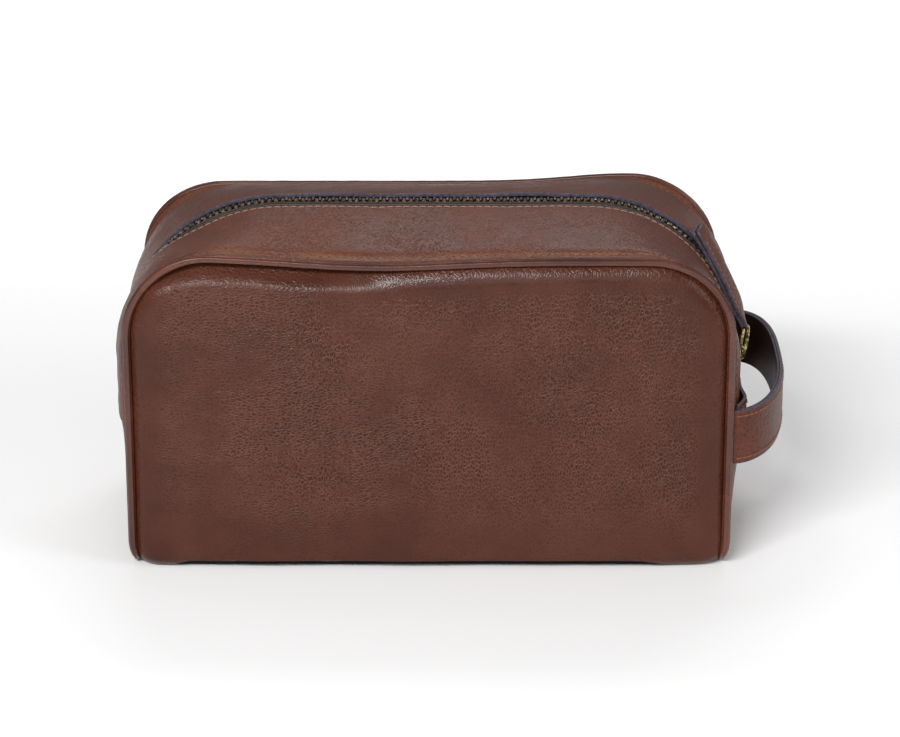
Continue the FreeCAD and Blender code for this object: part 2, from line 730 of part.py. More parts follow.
def checkAndWrite(pieces):
    """Stop on any failed object or bad solid, then write one file per piece."""
    doc.recompute()
    for item in doc.Objects:
        if "Invalid" in item.State or "Error" in item.State:
            raise RuntimeError(f"{item.Name} failed: {item.State}")
    for piece in pieces:
        if piece.Shape.isNull() or not piece.Shape.isValid() or piece.Shape.Volume <= 0:
            raise RuntimeError(f"{piece.Label} is not a sound solid")
    os.makedirs("parts", exist_ok=True)
    for piece in pieces:
        piece.Shape.exportStep(f"parts/{piece.Label}.step")
        box = piece.Shape.optimalBoundingBox()
        print(f"{piece.Label}: {len(piece.Shape.Solids)} solid(s), {piece.Shape.Volume:.0f} mm3, "
              f"x {box.XMin:.1f}..{box.XMax:.1f} y {box.YMin:.1f}..{box.YMax:.1f} "
              f"z {box.ZMin:.1f}..{box.ZMax:.1f}")
    print(len(pieces), "pieces")


fillSheet()
allPieces = panels() + gussetLayers() + sidePanels() + handleStrap() + piping()
allPieces += toothRows() + zipStops() + sliderAndPuller()
checkAndWrite(allPieces)
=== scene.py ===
import json
import math

import bpy
import numpy as np
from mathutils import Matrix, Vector


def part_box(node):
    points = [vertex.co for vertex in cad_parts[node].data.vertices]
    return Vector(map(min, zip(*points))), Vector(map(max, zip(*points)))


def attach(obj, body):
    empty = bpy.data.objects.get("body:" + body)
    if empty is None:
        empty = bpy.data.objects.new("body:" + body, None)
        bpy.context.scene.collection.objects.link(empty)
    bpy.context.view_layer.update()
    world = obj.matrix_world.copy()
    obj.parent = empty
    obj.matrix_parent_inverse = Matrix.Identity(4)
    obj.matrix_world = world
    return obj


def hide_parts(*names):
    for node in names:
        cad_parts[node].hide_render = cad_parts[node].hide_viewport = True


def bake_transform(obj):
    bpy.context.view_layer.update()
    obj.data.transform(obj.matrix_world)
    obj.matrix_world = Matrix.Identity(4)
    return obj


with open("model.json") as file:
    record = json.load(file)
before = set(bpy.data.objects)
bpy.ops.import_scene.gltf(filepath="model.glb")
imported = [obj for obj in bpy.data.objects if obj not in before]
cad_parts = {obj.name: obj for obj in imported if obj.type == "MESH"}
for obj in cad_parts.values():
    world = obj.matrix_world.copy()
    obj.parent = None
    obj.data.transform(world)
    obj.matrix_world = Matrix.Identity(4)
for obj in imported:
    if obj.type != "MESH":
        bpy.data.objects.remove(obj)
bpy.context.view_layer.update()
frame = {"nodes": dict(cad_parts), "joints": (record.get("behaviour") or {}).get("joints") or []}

mm = 0.001
rng = np.random.default_rng(7)
hinges = {joint["name"]: joint for joint in frame["joints"]}

cameraSet = {"aim": (0.0092, 0.0, 0.0720), "distance": 1.514, "elevation": 20.3, "lens": 133.0}


def makeCamera(setup):
    # stands back from the aim point along its elevation, and looks at it
    lift = math.radians(setup["elevation"])
    aim = Vector(setup["aim"])
    data = bpy.data.cameras.new("camera")
    data.lens = setup["lens"]
    data.sensor_width = 36
    camera = bpy.data.objects.new("camera", data)
    camera.location = aim + setup["distance"] * Vector((0, -math.cos(lift), math.sin(lift)))
    camera.rotation_euler = (aim - camera.location).to_track_quat("-Z", "Y").to_euler()
    bpy.context.scene.collection.objects.link(camera)
    bpy.context.scene.camera = camera


makeCamera(cameraSet)


def smoothStep(value):
    # 0 below 0, 1 above 1, and 3t^2 - 2t^3 between
    t = np.clip(value, 0, 1)
    return t * t * (3 - 2 * t)


def ripple(points, size, seed):
    # smooth bumps of a given size: a sum of sine waves in random directions, from -1 to 1
    draw = np.random.default_rng(seed)
    total = np.zeros(points.shape[:-1])
    waves = 9
    for _ in range(waves):
        heading = draw.normal(size=3)
        heading *= 2 * math.pi * draw.uniform(0.6, 1.6) / (size * np.linalg.norm(heading))
        total += np.sin(points @ heading + draw.uniform(0, 2 * math.pi))
    return 2 * total / waves


def unit(vectors):
    # each vector divided by its length
    return vectors / np.maximum(np.linalg.norm(vectors, axis=-1, keepdims=True), 1e-12)


def alongPath(points):
    # distance run from the first point, at every point
    steps = np.linalg.norm(np.diff(points, axis=0), axis=1)
    return np.concatenate([[0.0], np.cumsum(steps)])


def evenly(points, step):
    # the path again at even steps along its length
    run = alongPath(points)
    at = np.linspace(0, run[-1], max(2, int(round(run[-1] / step)) + 1))
    return np.stack([np.interp(at, run, points[:, k]) for k in range(3)], 1)


def newPiece(name, points, faces, materials, faceMaterials=None, smooth=True):
    # mesh object at the origin, points in millimetres
    mesh = bpy.data.meshes.new(name)
    mesh.from_pydata((points * mm).tolist(), [], faces.tolist() if hasattr(faces, "tolist") else faces)
    for material in materials:
        mesh.materials.append(material)
    if faceMaterials is not None:
        mesh.polygons.foreach_set("material_index", np.asarray(faceMaterials, dtype=np.int32))
    mesh.polygons.foreach_set("use_smooth", np.full(len(mesh.polygons), smooth))
    mesh.update()
    piece = bpy.data.objects.new(name, mesh)
    bpy.context.scene.collection.objects.link(piece)
    return piece


def gridFaces(rows, columns, flip=False):
    # one quad for each cell of a rows x columns grid of points
    index = np.arange(rows * columns).reshape(rows, columns)
    quads = np.stack([index[:-1, :-1], index[1:, :-1], index[1:, 1:], index[:-1, 1:]], -1).reshape(-1, 4)
    return quads[:, ::-1] if flip else quads


def addTag(piece, name, values):
    # a value from 0 to 1 at every point, for the leather's colour
    layer = piece.data.attributes.new(name, "FLOAT", "POINT")
    layer.data.foreach_set("value", np.clip(values, 0, 1).ravel().astype(np.float32))


def sheetPiece(name, grid, thickness, materials, flip=False, rim=None, inner=0, rounding=0.0):
    # open grid of outer points, given a wall inwards; the rim and inside can have their own material
    rows, columns = grid.shape[:2]
    piece = newPiece(name, grid.reshape(-1, 3), gridFaces(rows, columns, flip), materials)
    wall = piece.modifiers.new("wall", "SOLIDIFY")
    wall.thickness = thickness * mm
    wall.offset = -1
    wall.material_offset = inner
    wall.material_offset_rim = rim if rim is not None else inner
    if rounding:
        edge = piece.modifiers.new("edge", "BEVEL")
        edge.width = rounding * mm
        edge.segments = 2
        edge.limit_method = "ANGLE"
        edge.angle_limit = math.radians(50)
    return piece


def tubePiece(name, centres, sideways, outwards, ring, materials, ringMaterials=None,
              scales=None, closed=False):
    # a closed ring of (sideways, outwards) points carried along a path, capped unless the path closes
    count, around = len(centres), len(ring)
    if scales is None:
        scales = np.ones((count, 2))
    points = (centres[:, None] + sideways[:, None] * (ring[None, :, :1] * scales[:, None, :1])
              + outwards[:, None] * (ring[None, :, 1:] * scales[:, None, 1:]))
    index = np.arange(count * around).reshape(count, around)
    if closed:
        index = np.vstack([index, index[:1]])
    after = np.roll(index, -1, axis=1)
    quads = np.stack([index[:-1], after[:-1], after[1:], index[1:]], -1).reshape(-1, 4)
    tags = np.tile(ringMaterials if ringMaterials is not None else np.zeros(around, int), len(index) - 1)
    faces = quads.tolist()
    tags = tags.tolist()
    if not closed:
        faces += [index[0][::-1].tolist(), index[-1].tolist()]
        tags += [int(tags[0]), int(tags[0])]
    return newPiece(name, points.reshape(-1, 3), faces, materials, tags)


def circleRing(radius, count):
    # cosine and sine of even turns
    turn = np.linspace(0, 2 * math.pi, count, endpoint=False)
    return radius * np.stack([np.cos(turn), np.sin(turn)], 1)


def slabRing(width, thick, rounding, across=9, crown=0.0):
    # flat strip's section, anticlockwise: round corners, and a crowned outer face at +thick
    half = width / 2
    corner = np.linspace(0, math.pi / 2, 4)
    arc = rounding * np.stack([np.sin(corner), 1 - np.cos(corner)], 1)
    low = np.stack([half - rounding + arc[:, 0], arc[:, 1]], 1)
    high = np.stack([half - rounding + arc[::-1, 0], thick - arc[::-1, 1]], 1)
    face = np.linspace(half - rounding, rounding - half, across)[1:-1]
    top = np.stack([face, thick + crown * (1 - (face / half) ** 2)], 1)
    right = np.vstack([low, high])
    left = right[::-1] * [-1, 1]
    bottom = np.stack([-face, np.zeros_like(face)], 1)
    return np.vstack([right, top, left, bottom])


def frames(centres, out):
    # sideways and outward directions, square to a path, from its rough outward direction
    along = unit(np.gradient(centres, axis=0))
    side = unit(np.cross(along, out))
    return side, unit(np.cross(side, along))


def stitchRow(name, path, normals, setup, material, body=None, gapEnds=0.0):
    # threads laid end to end along a path: each an arched six-sided strand that dips into its holes
    run = alongPath(path)
    count = int((run[-1] - 2 * gapEnds) // setup["pitch"])
    at = gapEnds + (np.arange(count) + 0.5) * setup["pitch"]
    centre, normal, along = (np.stack([np.interp(at, run, values[:, k]) for k in range(3)], 1)
                             for values in (path, normals, np.gradient(path, axis=0)))
    normal, along = unit(normal), unit(along)
    side = unit(np.cross(normal, along))
    slant = rng.normal(0, 0.05, count)[:, None]
    along, side = unit(along + side * slant), unit(side - along * slant)
    stations = np.linspace(-1, 1, 7)
    turn = np.linspace(0, 2 * math.pi, 6, endpoint=False)
    lift = setup["thread"] * (1.1 * np.sqrt(np.clip(1 - stations ** 2, 0, 1)) - 0.55)
    fat = setup["thread"] * np.sqrt(np.clip(1.02 - 0.55 * stations ** 2, 0, 1))
    forward = (stations * setup["length"] / 2)[None, :, None, None]
    upward = (lift[:, None] + fat[:, None] * np.sin(turn)[None])[None, :, :, None]
    sideways = (fat[:, None] * np.cos(turn)[None])[None, :, :, None]
    strand = (centre[:, None, None] + along[:, None, None] * forward + normal[:, None, None] * upward
              + side[:, None, None] * sideways)
    index = np.arange(count * len(stations) * len(turn)).reshape(count, len(stations), len(turn))
    after = np.roll(index, -1, axis=2)
    quads = np.stack([index[:, :-1], index[:, 1:], after[:, 1:], after[:, :-1]], -1).reshape(-1, 4).tolist()
    caps = [row[0].tolist() for row in index] + [row[-1][::-1].tolist() for row in index]
    piece = newPiece(name, strand.reshape(-1, 3), quads + caps, [material])
    if body:
        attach(piece, body)
    return piece


def colour(code):
    # sRGB hex to the linear values that shaders use
    parts = [int(code[i:i + 2], 16) / 255 for i in (1, 3, 5)]
    return [c / 12.92 if c <= 0.04045 else ((c + 0.055) / 1.055) ** 2.4 for c in parts] + [1.0]


def addNode(tree, kind, inputs=(), out=0, stops=(), **settings):
    # one shader node, giving its output: settings by attribute; inputs in order or by socket, each a value
    # or another node's output; and a colour ramp's stops as (position, hex)
    node = tree.nodes.new("ShaderNode" + kind)
    for key, value in settings.items():
        setattr(node, key, value)
    for key, value in inputs.items() if isinstance(inputs, dict) else enumerate(inputs):
        if isinstance(value, bpy.types.NodeSocket):
            tree.links.new(value, node.inputs[key])
        else:
            node.inputs[key].default_value = value
    for k, (position, code) in enumerate(stops):
        elements = node.color_ramp.elements
        if k == len(elements):
            elements.new(1.0)
        elements[k].position = position
        elements[k].color = colour(code)
    return node.outputs[out] if node.outputs else None


# settings that many nodes share
times, plus, minus = ({"operation": word} for word in ("MULTIPLY", "ADD", "SUBTRACT"))
timesPlus, eased = {"operation": "MULTIPLY_ADD"}, {"interpolation_type": "SMOOTHSTEP"}


def newMaterial(name):
    # an empty material, its node tree, and the place of each point in metres
    material = bpy.data.materials.new(name)
    material.use_nodes = True
    tree = material.node_tree
    tree.nodes.clear()
    return material, tree, addNode(tree, "TexCoord", out="Object")


def finishMaterial(material, tree, inputs):
    # the surface shader and the output
    addNode(tree, "OutputMaterial", {"Surface": addNode(tree, "BsdfPrincipled", inputs)})
    return material


def cowhide(name, hide):
    # waxed full-grain cowhide, drum-milled: pits darkened as painted shade, raised folds lightened as
    # painted highlight, a warm tone where it is pulled over a seam, a burnished shoulder, and a soft broad
    # sheen
    material, tree, place = newMaterial(name)
    x, y, z = addNode(tree, "SeparateXYZ", (place,)).node.outputs
    size = hide["grain"] * mm
    noise = {}
    # widths of the uneven patches in millimetres, with their detail and roughness
    for label, width, detail, roughness in (
            ("lay", 60, 2.0, 0.5), ("broad", 52, 2.0, 0.5), ("worn", 38, 3.0, 0.5), ("blotch", 13, 4.0, 0.6),
            ("patchy", 5, 2.0, 0.5), ("strain", 1.6, 2.0, 0.5), ("ragged", 0.9, 2.0, 0.5),
            ("fine", 0.5, 2.0, 0.5)):
        noise[label] = addNode(tree, "TexNoise", {"Vector": place, "Scale": 1 / (width * mm),
                                                  "Detail": detail, "Roughness": roughness}, "Fac")
    sheet = place
    flat = "unrolled" in hide
    if flat:
        # height plus depth, so that the grain runs on round the roll at the base
        depth = addNode(tree, "Math", (addNode(tree, "Math", (y,), operation="ABSOLUTE"), 50 * mm),
                        operation="MINIMUM")
        sheet = addNode(tree, "CombineXYZ", (x, addNode(tree, "Math", (z, depth), **plus)))
    drift = addNode(tree, "TexNoise", {"Vector": place, "Scale": 1 / (6 * mm), "Detail": 3.0}, "Color")
    centred = addNode(tree, "VectorMath", (drift, (0.5, 0.5, 0.5)), **minus)
    bent = addNode(tree, "VectorMath", (centred, (3.4 * mm,) * 3, sheet), **timesPlus)

    # grain cells and long wrinkles, lying on the left and standing on the right
    cells, wrinkles = [], []
    for stretch in (hide["lying"], hide["standing"]):
        wide = addNode(tree, "Mapping", {"Vector": bent, "Scale": stretch})
        cells.append(addNode(tree, "TexVoronoi", {"Vector": wide, "Scale": 1 / size}, "Distance",
                             voronoi_dimensions="2D" if flat else "3D", feature="DISTANCE_TO_EDGE"))
        drawn = addNode(tree, "Mapping", {"Vector": bent, "Scale": [share ** 2.5 for share in stretch]})
        wrinkles.append(addNode(tree, "TexNoise", {"Vector": drawn, "Scale": 0.55 / size, "Detail": 2.0},
                                "Fac"))
    slanted = addNode(tree, "Math", (x, 1.6, noise["lay"]), **timesPlus)
    lay = addNode(tree, "MapRange", (slanted, 0.38, 0.56, 0.0, 1.0), **eased)
    cell, wave = (addNode(tree, "Mix", {0: lay, 2: pair[0], 3: pair[1]}, data_type="FLOAT")
                  for pair in (cells, wrinkles))
    ragged = addNode(tree, "Math", (noise["ragged"], 0.5), **minus)
    cell = addNode(tree, "Math", (ragged, 0.3, cell), **timesPlus)
    away = addNode(tree, "Math", (addNode(tree, "Math", (wave, 0.5), **minus),), operation="ABSOLUTE")

    # how strong the grain is from place to place
    fades = [(noise["worn"], 0.36, 0.6, hide["calm"], 1.0), (noise["patchy"], 0.3, 0.62, 0.6, 1.0)]
    if "smoothBelow" in hide:
        fades.append((z, *hide["smoothBelow"], 0.3, 1.0))
    if "burnished" in hide:
        shine = addNode(tree, "Attribute", out="Fac", attribute_name="burnish")
        fades.append((shine, 0.0, 1.0, 1.0, hide["burnished"]))
    relief = 1.0
    for fade in fades:
        relief = addNode(tree, "Math", (relief, addNode(tree, "MapRange", fade, **eased)), **times)
    hollow = addNode(tree, "MapRange", (cell, 0.1, 0.34, 0.0, 1.0), **eased)
    pit = addNode(tree, "Math", (hollow, relief), **times)
    line = addNode(tree, "Math", (addNode(tree, "MapRange", (cell, -0.04, 0.19, 0.85, 0.0), **eased),
                                  addNode(tree, "MapRange", (away, 0.0, 0.05, 0.6, 0.0), **eased)),
                   operation="MAXIMUM")
    fold = addNode(tree, "Math", (line, relief), **times)

    # uneven dye, then painted shade in the pits, painted highlight on the folds, the pulled tone, and over
    # it the near-black painted shade of the base strip
    dye = addNode(tree, "Mix", {0: 0.3, 2: noise["broad"], 3: noise["blotch"]}, data_type="FLOAT")
    tone = addNode(tree, "ValToRGB", (dye,),
                   stops=((0.38, hide["dark"]), (0.5, hide["mid"]), (0.62, hide["warm"])))
    # the pit colour is painted shade in the grain's hollows, the fold colour painted highlight on its folds
    layers = [(addNode(tree, "Math", (pit, hide["pitShade"]), **times), hide["pit"]),
              (addNode(tree, "Math", (fold, hide["foldHighlight"]), **times), hide["fold"])]
    if "pulled" in hide:
        pull = addNode(tree, "Attribute", out="Fac", attribute_name="pull")
        strain = addNode(tree, "MapRange", (noise["strain"], 0.38, 0.6, 0.25, 1.0), **eased)
        layers.append((addNode(tree, "Math", (pull, strain), **times), hide["pulled"]))
    # painted shade: near-black over the tagged strip at the base, where the roll gets no light
    if "sole" in hide:
        under = addNode(tree, "Attribute", out="Fac", attribute_name="sole")
        layers.append((addNode(tree, "MapRange", (under, 0.35, 0.65, 0.0, 1.0), **eased), hide["sole"]))
    for factor, code in layers:
        tone = addNode(tree, "Mix", {0: factor, 6: tone, 7: colour(code)}, 2, data_type="RGBA")

    height = addNode(tree, "Math", (addNode(tree, "Math", (fold, 0.5), **times), pit), **minus)
    grain = addNode(tree, "Bump", {"Height": height, "Strength": hide["relief"], "Distance": 0.42 * mm})
    pores = addNode(tree, "Bump", {"Height": noise["fine"], "Normal": grain, "Strength": 0.3,
                                   "Distance": 0.05 * mm})
    gloss = addNode(tree, "MapRange", (dye, 0.38, 0.62, hide["roughness"] - 0.05, hide["roughness"] + 0.06),
                    **eased)
    if "burnished" in hide:
        gloss = addNode(tree, "Math", (shine, -0.1, gloss), **timesPlus)
    return finishMaterial(material, tree, {"Base Color": tone, "Roughness": gloss, "Normal": pores,
                                           "IOR": 1.5, "Specular IOR Level": hide["specular"]})


# grain in millimetres, how the cells are squeezed where they lie and stand, and how much grain is left
# pit and fold colours are painted shade and painted highlight on the grain; the panel's last colour is
# painted shade at the base
panelHide = {"unrolled": True, "burnished": 0.22, "grain": 1.6, "calm": 0.45,
             "lying": (0.72, 1.25, 1.0), "standing": (1.3, 0.8, 1.0),
             "relief": 0.6, "roughness": 0.36, "specular": 0.22, "smoothBelow": (0.012, 0.045),
             "dark": "#3e1f16", "mid": "#452319", "warm": "#4c281c", "pit": "#210a07", "pitShade": 0.62,
             "fold": "#7a4e3e", "foldHighlight": 0.5, "pulled": "#5c2f1c", "sole": "#0e0b0c"}
gussetHide = {"grain": 1.9, "lying": (0.8, 1.2, 1.2), "standing": (1.1, 0.9, 0.9), "calm": 0.35,
              "relief": 0.4, "roughness": 0.4, "specular": 0.17,
              "dark": "#4e281e", "mid": "#552d22", "warm": "#5d3225", "pit": "#2c120d", "pitShade": 0.4,
              "fold": "#7d5040", "foldHighlight": 0.3, "pulled": "#774827"}
pipingHide = {"grain": 1.6, "lying": (1, 1, 1), "standing": (1, 1, 1), "calm": 0.1,
              "relief": 0.06, "roughness": 0.25, "specular": 0.5,
              "dark": "#3f1e16", "mid": "#4a251b", "warm": "#582e20", "pit": "#30150f", "pitShade": 0.4,
              "fold": "#7a4834", "foldHighlight": 0.3}
strapHide = {"grain": 1.4, "lying": (1, 1, 1), "standing": (1, 1, 1), "calm": 0.1,
             "relief": 0.2, "roughness": 0.5, "specular": 0.35,
             "dark": "#271815", "mid": "#2e1e1a", "warm": "#382621", "pit": "#1a100e", "pitShade": 0.4,
             "fold": "#4a3832", "foldHighlight": 0.3}

frontLeather = cowhide("milledCowhide", panelHide)
gussetLeather = cowhide("smoothCowhide", gussetHide)
pipingLeather = cowhide("pipingCowhide", pipingHide)
strapLining = cowhide("darkLiningLeather", strapHide)


def paintedEdge():
    # edge paint over burnished leather: near-black film, satin, slightly lumpy along the cut; its colour is
    # lifted to a bluish grey as painted sheen
    material, tree, place = newMaterial("edgePaint")
    lumps = addNode(tree, "TexNoise", {"Vector": place, "Scale": 1 / (1.6 * mm), "Detail": 3.0}, "Fac")
    # bluish-grey tones: the dark paint with painted sheen mixed into its colour
    tone = addNode(tree, "ValToRGB", (lumps,), stops=((0.35, "#35313a"), (0.65, "#4e4956")))
    bump = addNode(tree, "Bump", {"Height": lumps, "Strength": 0.35, "Distance": 0.15 * mm})
    return finishMaterial(material, tree, {"Base Color": tone, "Normal": bump, "Roughness": 0.4,
                                           "Specular IOR Level": 0.3})


def wovenCloth(name, cloth):
    # plain weave: two crossed rows of threads at the thread spacing, matt with a little sheen
    material, tree, place = newMaterial(name)
    bands = 0.5 / (cloth["thread"] * mm) / math.pi
    rows = [addNode(tree, "TexWave", {"Vector": place, "Scale": bands, "Distortion": 0.6, "Detail": 1.0},
                    "Fac", bands_direction=direction) for direction in ("X", "Z")]
    weave = addNode(tree, "Math", rows, **times)
    fuzz = addNode(tree, "TexNoise", {"Vector": place, "Scale": 1 / (4 * mm), "Detail": 3.0}, "Fac")
    both = addNode(tree, "Mix", {0: 0.5, 2: weave, 3: fuzz}, data_type="FLOAT")
    tone = addNode(tree, "ValToRGB", (both,), stops=((0.2, cloth["dark"]), (0.8, cloth["light"])))
    bump = addNode(tree, "Bump", {"Height": weave, "Strength": 0.5, "Distance": 0.12 * mm})
    return finishMaterial(material, tree, {"Base Color": tone, "Normal": bump, "Roughness": 0.85,
                                           "Sheen Weight": 0.25, "Sheen Roughness": 0.4})


def oldBrass(name, brass):
    # antiqued cast brass: worn bright on the high spots, brown tarnish in the rest
    material, tree, place = newMaterial(name)
    tarnish = addNode(tree, "TexNoise", {"Vector": place, "Scale": 1 / (1.3 * mm), "Detail": 4.0,
                                         "Roughness": 0.6}, "Fac")
    tone = addNode(tree, "ValToRGB", (tarnish,),
                   stops=((0.38, brass["dark"]), (0.52, brass["mid"]), (0.66, brass["bright"])))
    dull = addNode(tree, "MapRange", (tarnish, 0.35, 0.65, 0.42, 0.24))
    bump = addNode(tree, "Bump", {"Height": tarnish, "Strength": 0.2, "Distance": 0.06 * mm})
    return finishMaterial(material, tree, {"Base Color": tone, "Roughness": dull, "Normal": bump,
                                           "Metallic": 1.0})


def waxedThread(name, dark, light):
    # bonded polyester thread: twisted strands that catch a fine light
    material, tree, place = newMaterial(name)
    twist = addNode(tree, "TexNoise", {"Vector": place, "Scale": 1 / (0.5 * mm), "Detail": 2.0}, "Fac")
    tone = addNode(tree, "ValToRGB", (twist,), stops=((0.35, dark), (0.65, light)))
    return finishMaterial(material, tree, {"Base Color": tone, "Roughness": 0.55, "Sheen Weight": 0.2})


def pressedBoard(name, dark, light):
    # felted fibre board: matt with loose flecks
    material, tree, place = newMaterial(name)
    flecks = addNode(tree, "TexNoise", {"Vector": place, "Scale": 1 / (2 * mm), "Detail": 5.0}, "Fac")
    tone = addNode(tree, "ValToRGB", (flecks,), stops=((0.35, dark), (0.65, light)))
    bump = addNode(tree, "Bump", {"Height": flecks, "Strength": 0.4, "Distance": 0.2 * mm})
    return finishMaterial(material, tree, {"Base Color": tone, "Normal": bump, "Roughness": 0.9})


edgePaint = paintedEdge()
liningCloth = wovenCloth("twillLining", {"thread": 0.7, "dark": "#1b1714", "light": "#342c26"})
tapeCloth = wovenCloth("zipTape", {"thread": 0.6, "dark": "#2a1d17", "light": "#4a362b"})
toothBrass = oldBrass("antiqueToothBrass", {"dark": "#332b27", "mid": "#85766a", "bright": "#d2c8bd"})
castBrass = oldBrass("antiqueCastBrass", {"dark": "#5a5030", "mid": "#a59a62", "bright": "#f0ebc8"})
brownThread = waxedThread("brownThread", "#5e3322", "#8a5136")
paleThread = waxedThread("paleThread", "#7d5a48", "#9c7a68")
warmThread = waxedThread("warmThread", "#573629", "#74503f")
feltBoard = pressedBoard("fibreBoard", "#6a5f4e", "#8f836c")
print("materials ready")


def boxMm(node):
    # a node's lowest and highest corners in millimetres
    low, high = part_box(node)
    return np.array(low) / mm, np.array(high) / mm


gussetLow, gussetHigh = boxMm("front_right_gusset")
pipingHigh = boxMm("front_piping")[1]
bag = {
    "seamHalf": 131.4, "seamRadius": 36.5, "seamTop": pipingHigh[2] - 1.2, "seamY": 56.3,
    "zipHalfLeft": 136.4, "zipBendLeft": (72.0, 63.0), "zipHalfRight": 138.5, "zipBendRight": (68.5, 68.5),
    "zipTop": gussetHigh[2], "zipLow": gussetLow[2],
    "sagDepth": 3.6, "sagAt": -25.0, "sagWidth": 50.0, "sagLevel": 0.8, "sagLean": 1.25, "leanRun": 80,
    "backDip": 2.9, "backRise": 3.6, "backRiseAt": 90.0, "backRiseWidth": 36.0,
    "footTuck": 1.7, "footTop": 12.0, "shareRadius": 50.0,
}


def archShares(low, top, half, radius):
    # shares of an arch's length taken by its side, bend, top, bend and side
    runs = np.array([top - radius - low, radius * math.pi / 2, 2 * (half - radius),
                     radius * math.pi / 2, top - radius - low])
    return np.concatenate([[0], np.cumsum(runs) / runs.sum()])


def arch(u, low, top, left, right, shares):
    # round-shouldered arch in the XZ plane: up the left side, over and down the right, with its normals;
    # left and right each give the half width and the bend's width and height
    part = [np.clip((u - shares[k]) / (shares[k + 1] - shares[k]), 0, 1) for k in range(5)]
    turnLeft, turnRight = part[1] * math.pi / 2, part[3] * math.pi / 2
    (halfLeft, wideLeft, tallLeft), (halfRight, wideRight, tallRight) = left, right
    span = halfRight - wideRight + halfLeft - wideLeft
    x = -halfLeft + wideLeft * (1 - np.cos(turnLeft)) + span * part[2] + wideRight * np.sin(turnRight)
    z = (low + (top - tallLeft - low) * part[0] + tallLeft * np.sin(turnLeft)
         - tallRight * (1 - np.cos(turnRight)) - (top - tallRight - low) * part[4])
    return x, z, np.sin(turnRight) - np.cos(turnLeft), np.sin(turnLeft) * np.cos(turnRight)


shares = archShares(bag["zipLow"], bag["seamTop"], bag["seamHalf"], bag["shareRadius"])


def seamSag(x, side):
    # how far the top seam hangs below its corners: one dip at the front; at the back a long dip and a hump
    if side < 0:
        dip = bag["sagDepth"] * np.exp(-((x - bag["sagAt"]) / bag["sagWidth"]) ** 2)
        return dip + bag["sagLevel"] + bag["sagLean"] * np.tanh(x / bag["leanRun"])
    hump = bag["backRise"] * np.exp(-((x - bag["backRiseAt"]) / bag["backRiseWidth"]) ** 2)
    return bag["backDip"] - hump


def footTuck(z):
    # how far the side seams draw in towards the base
    return bag["footTuck"] * smoothStep((bag["footTop"] - z) / bag["footTop"])


def seamArch(u, side, grow=0.0, low=None):
    # the seam line of one face, moved outwards by grow
    ends = (bag["seamHalf"], bag["seamRadius"], bag["seamRadius"])
    x, z, nx, nz = arch(u, bag["zipLow"] if low is None else low, bag["seamTop"], ends, ends, shares)
    return x + nx * grow, z + nz * grow - seamSag(x, side) * nz ** 2, nx, nz


def zipArch(u, grow=0.0):
    # the line of the zip, moved outwards by grow
    x, z, nx, nz = arch(u, bag["zipLow"], bag["zipTop"], (bag["zipHalfLeft"], *bag["zipBendLeft"]),
                        (bag["zipHalfRight"], *bag["zipBendRight"]), shares)
    return x + nx * grow, z + nz * grow, nx, nz


def domeShare(v, nx):
    # rise from seam to zip edge: nearly flat over the top, full and square-shouldered on the sides
    power = 1.3 + 1.3 * nx ** 4
    return (1 - (1 - v) ** power) ** (1 / power)


gusset = {
    "front": {"side": -1, "edgeY": 3.7, "rise": -2.3, "leftRise": 3.3, "thick": 1.9},
    "back": {"side": 1, "edgeY": 3.0, "rise": 1.2, "leftRise": -0.9, "thick": 1.7},
    "ridgeWidth": 2.6, "ridgeHeight": 0.9, "bandEnd": 9.2, "holes": 6.0,
    "groove": 0.55, "grooveWidth": 2.0, "turned": 0.9, "turnedWidth": 1.5,
    "uneven": (0.35, 46.0), "creases": (0.1, 9.0),  # depth and width of slow and quick unevenness
    "bellyRight": (2.2, 11.0, 9.0), "bellyLeft": (2.2, 26.0, 16.0),     # height, run from the seam, width
    "turnAcross": 0.01626, "turnUp": 0.01538,       # share of a flap's turn gained in each millimetre
}


def belly(s, sign):
    # extra fullness of the sides, by distance from the seam: near the seam on the right, mid-way on the left
    high, at, wide = gusset["bellyRight" if sign > 0 else "bellyLeft"]
    return high * np.exp(-((s - at) / wide) ** 2)


def gussetSurface(u, s, setup, depth=0.0, plain=False):
    # strip between the seam and the zip: s is the distance from the seam across the bag
    side = setup["side"]
    width = bag["seamY"] - setup["edgeY"]
    v = np.clip(s / width, 0, 1)
    ax, az, nx, nz = seamArch(u, side)
    _, _, leaning, _ = zipArch(u)
    bx, bz, mx, mz = zipArch(u, setup["rise"] + setup["leftRise"] * smoothStep((-leaning - 0.5) / 0.4))
    share = domeShare(v, nx)
    x = ax + (bx - ax) * share
    z = az + (bz - az) * share
    y = side * (bag["seamY"] - s) + 0 * x
    points = np.stack([x, y, z], -1)
    normalX, normalZ = nx + (mx - nx) * v, nz + (mz - nz) * v
    lift = -depth + 0 * x
    if not plain:
        ridge = gusset["ridgeHeight"] * np.sqrt(np.clip(1 - (2 * s / gusset["ridgeWidth"] - 1) ** 2, 0, 1))
        groove = -gusset["groove"] * np.exp(-((s - gusset["holes"]) / gusset["grooveWidth"]) ** 2)
        swell = 0.1 * np.exp(-((s - gusset["bandEnd"] - 1.5) / 2.2) ** 2)
        over = np.clip((s - width) / gusset["turnedWidth"] + 1, 0, 1)
        turned = -gusset["turned"] * over ** 2 * (side < 0)
        full = (belly(s, 1) * np.clip(normalX, 0, 1) ** 4 + belly(s, -1) * np.clip(-normalX, 0, 1) ** 3)
        lift = lift + ridge + groove + swell + turned + full
        for (high, wide), seed in ((gusset["uneven"], 11), (gusset["creases"], 23)):
            lift = lift + high * ripple(points, wide, seed + side) * smoothStep((s - 7) / 12)
    return points + lift[..., None] * np.stack([normalX, 0 * normalX, normalZ], -1)


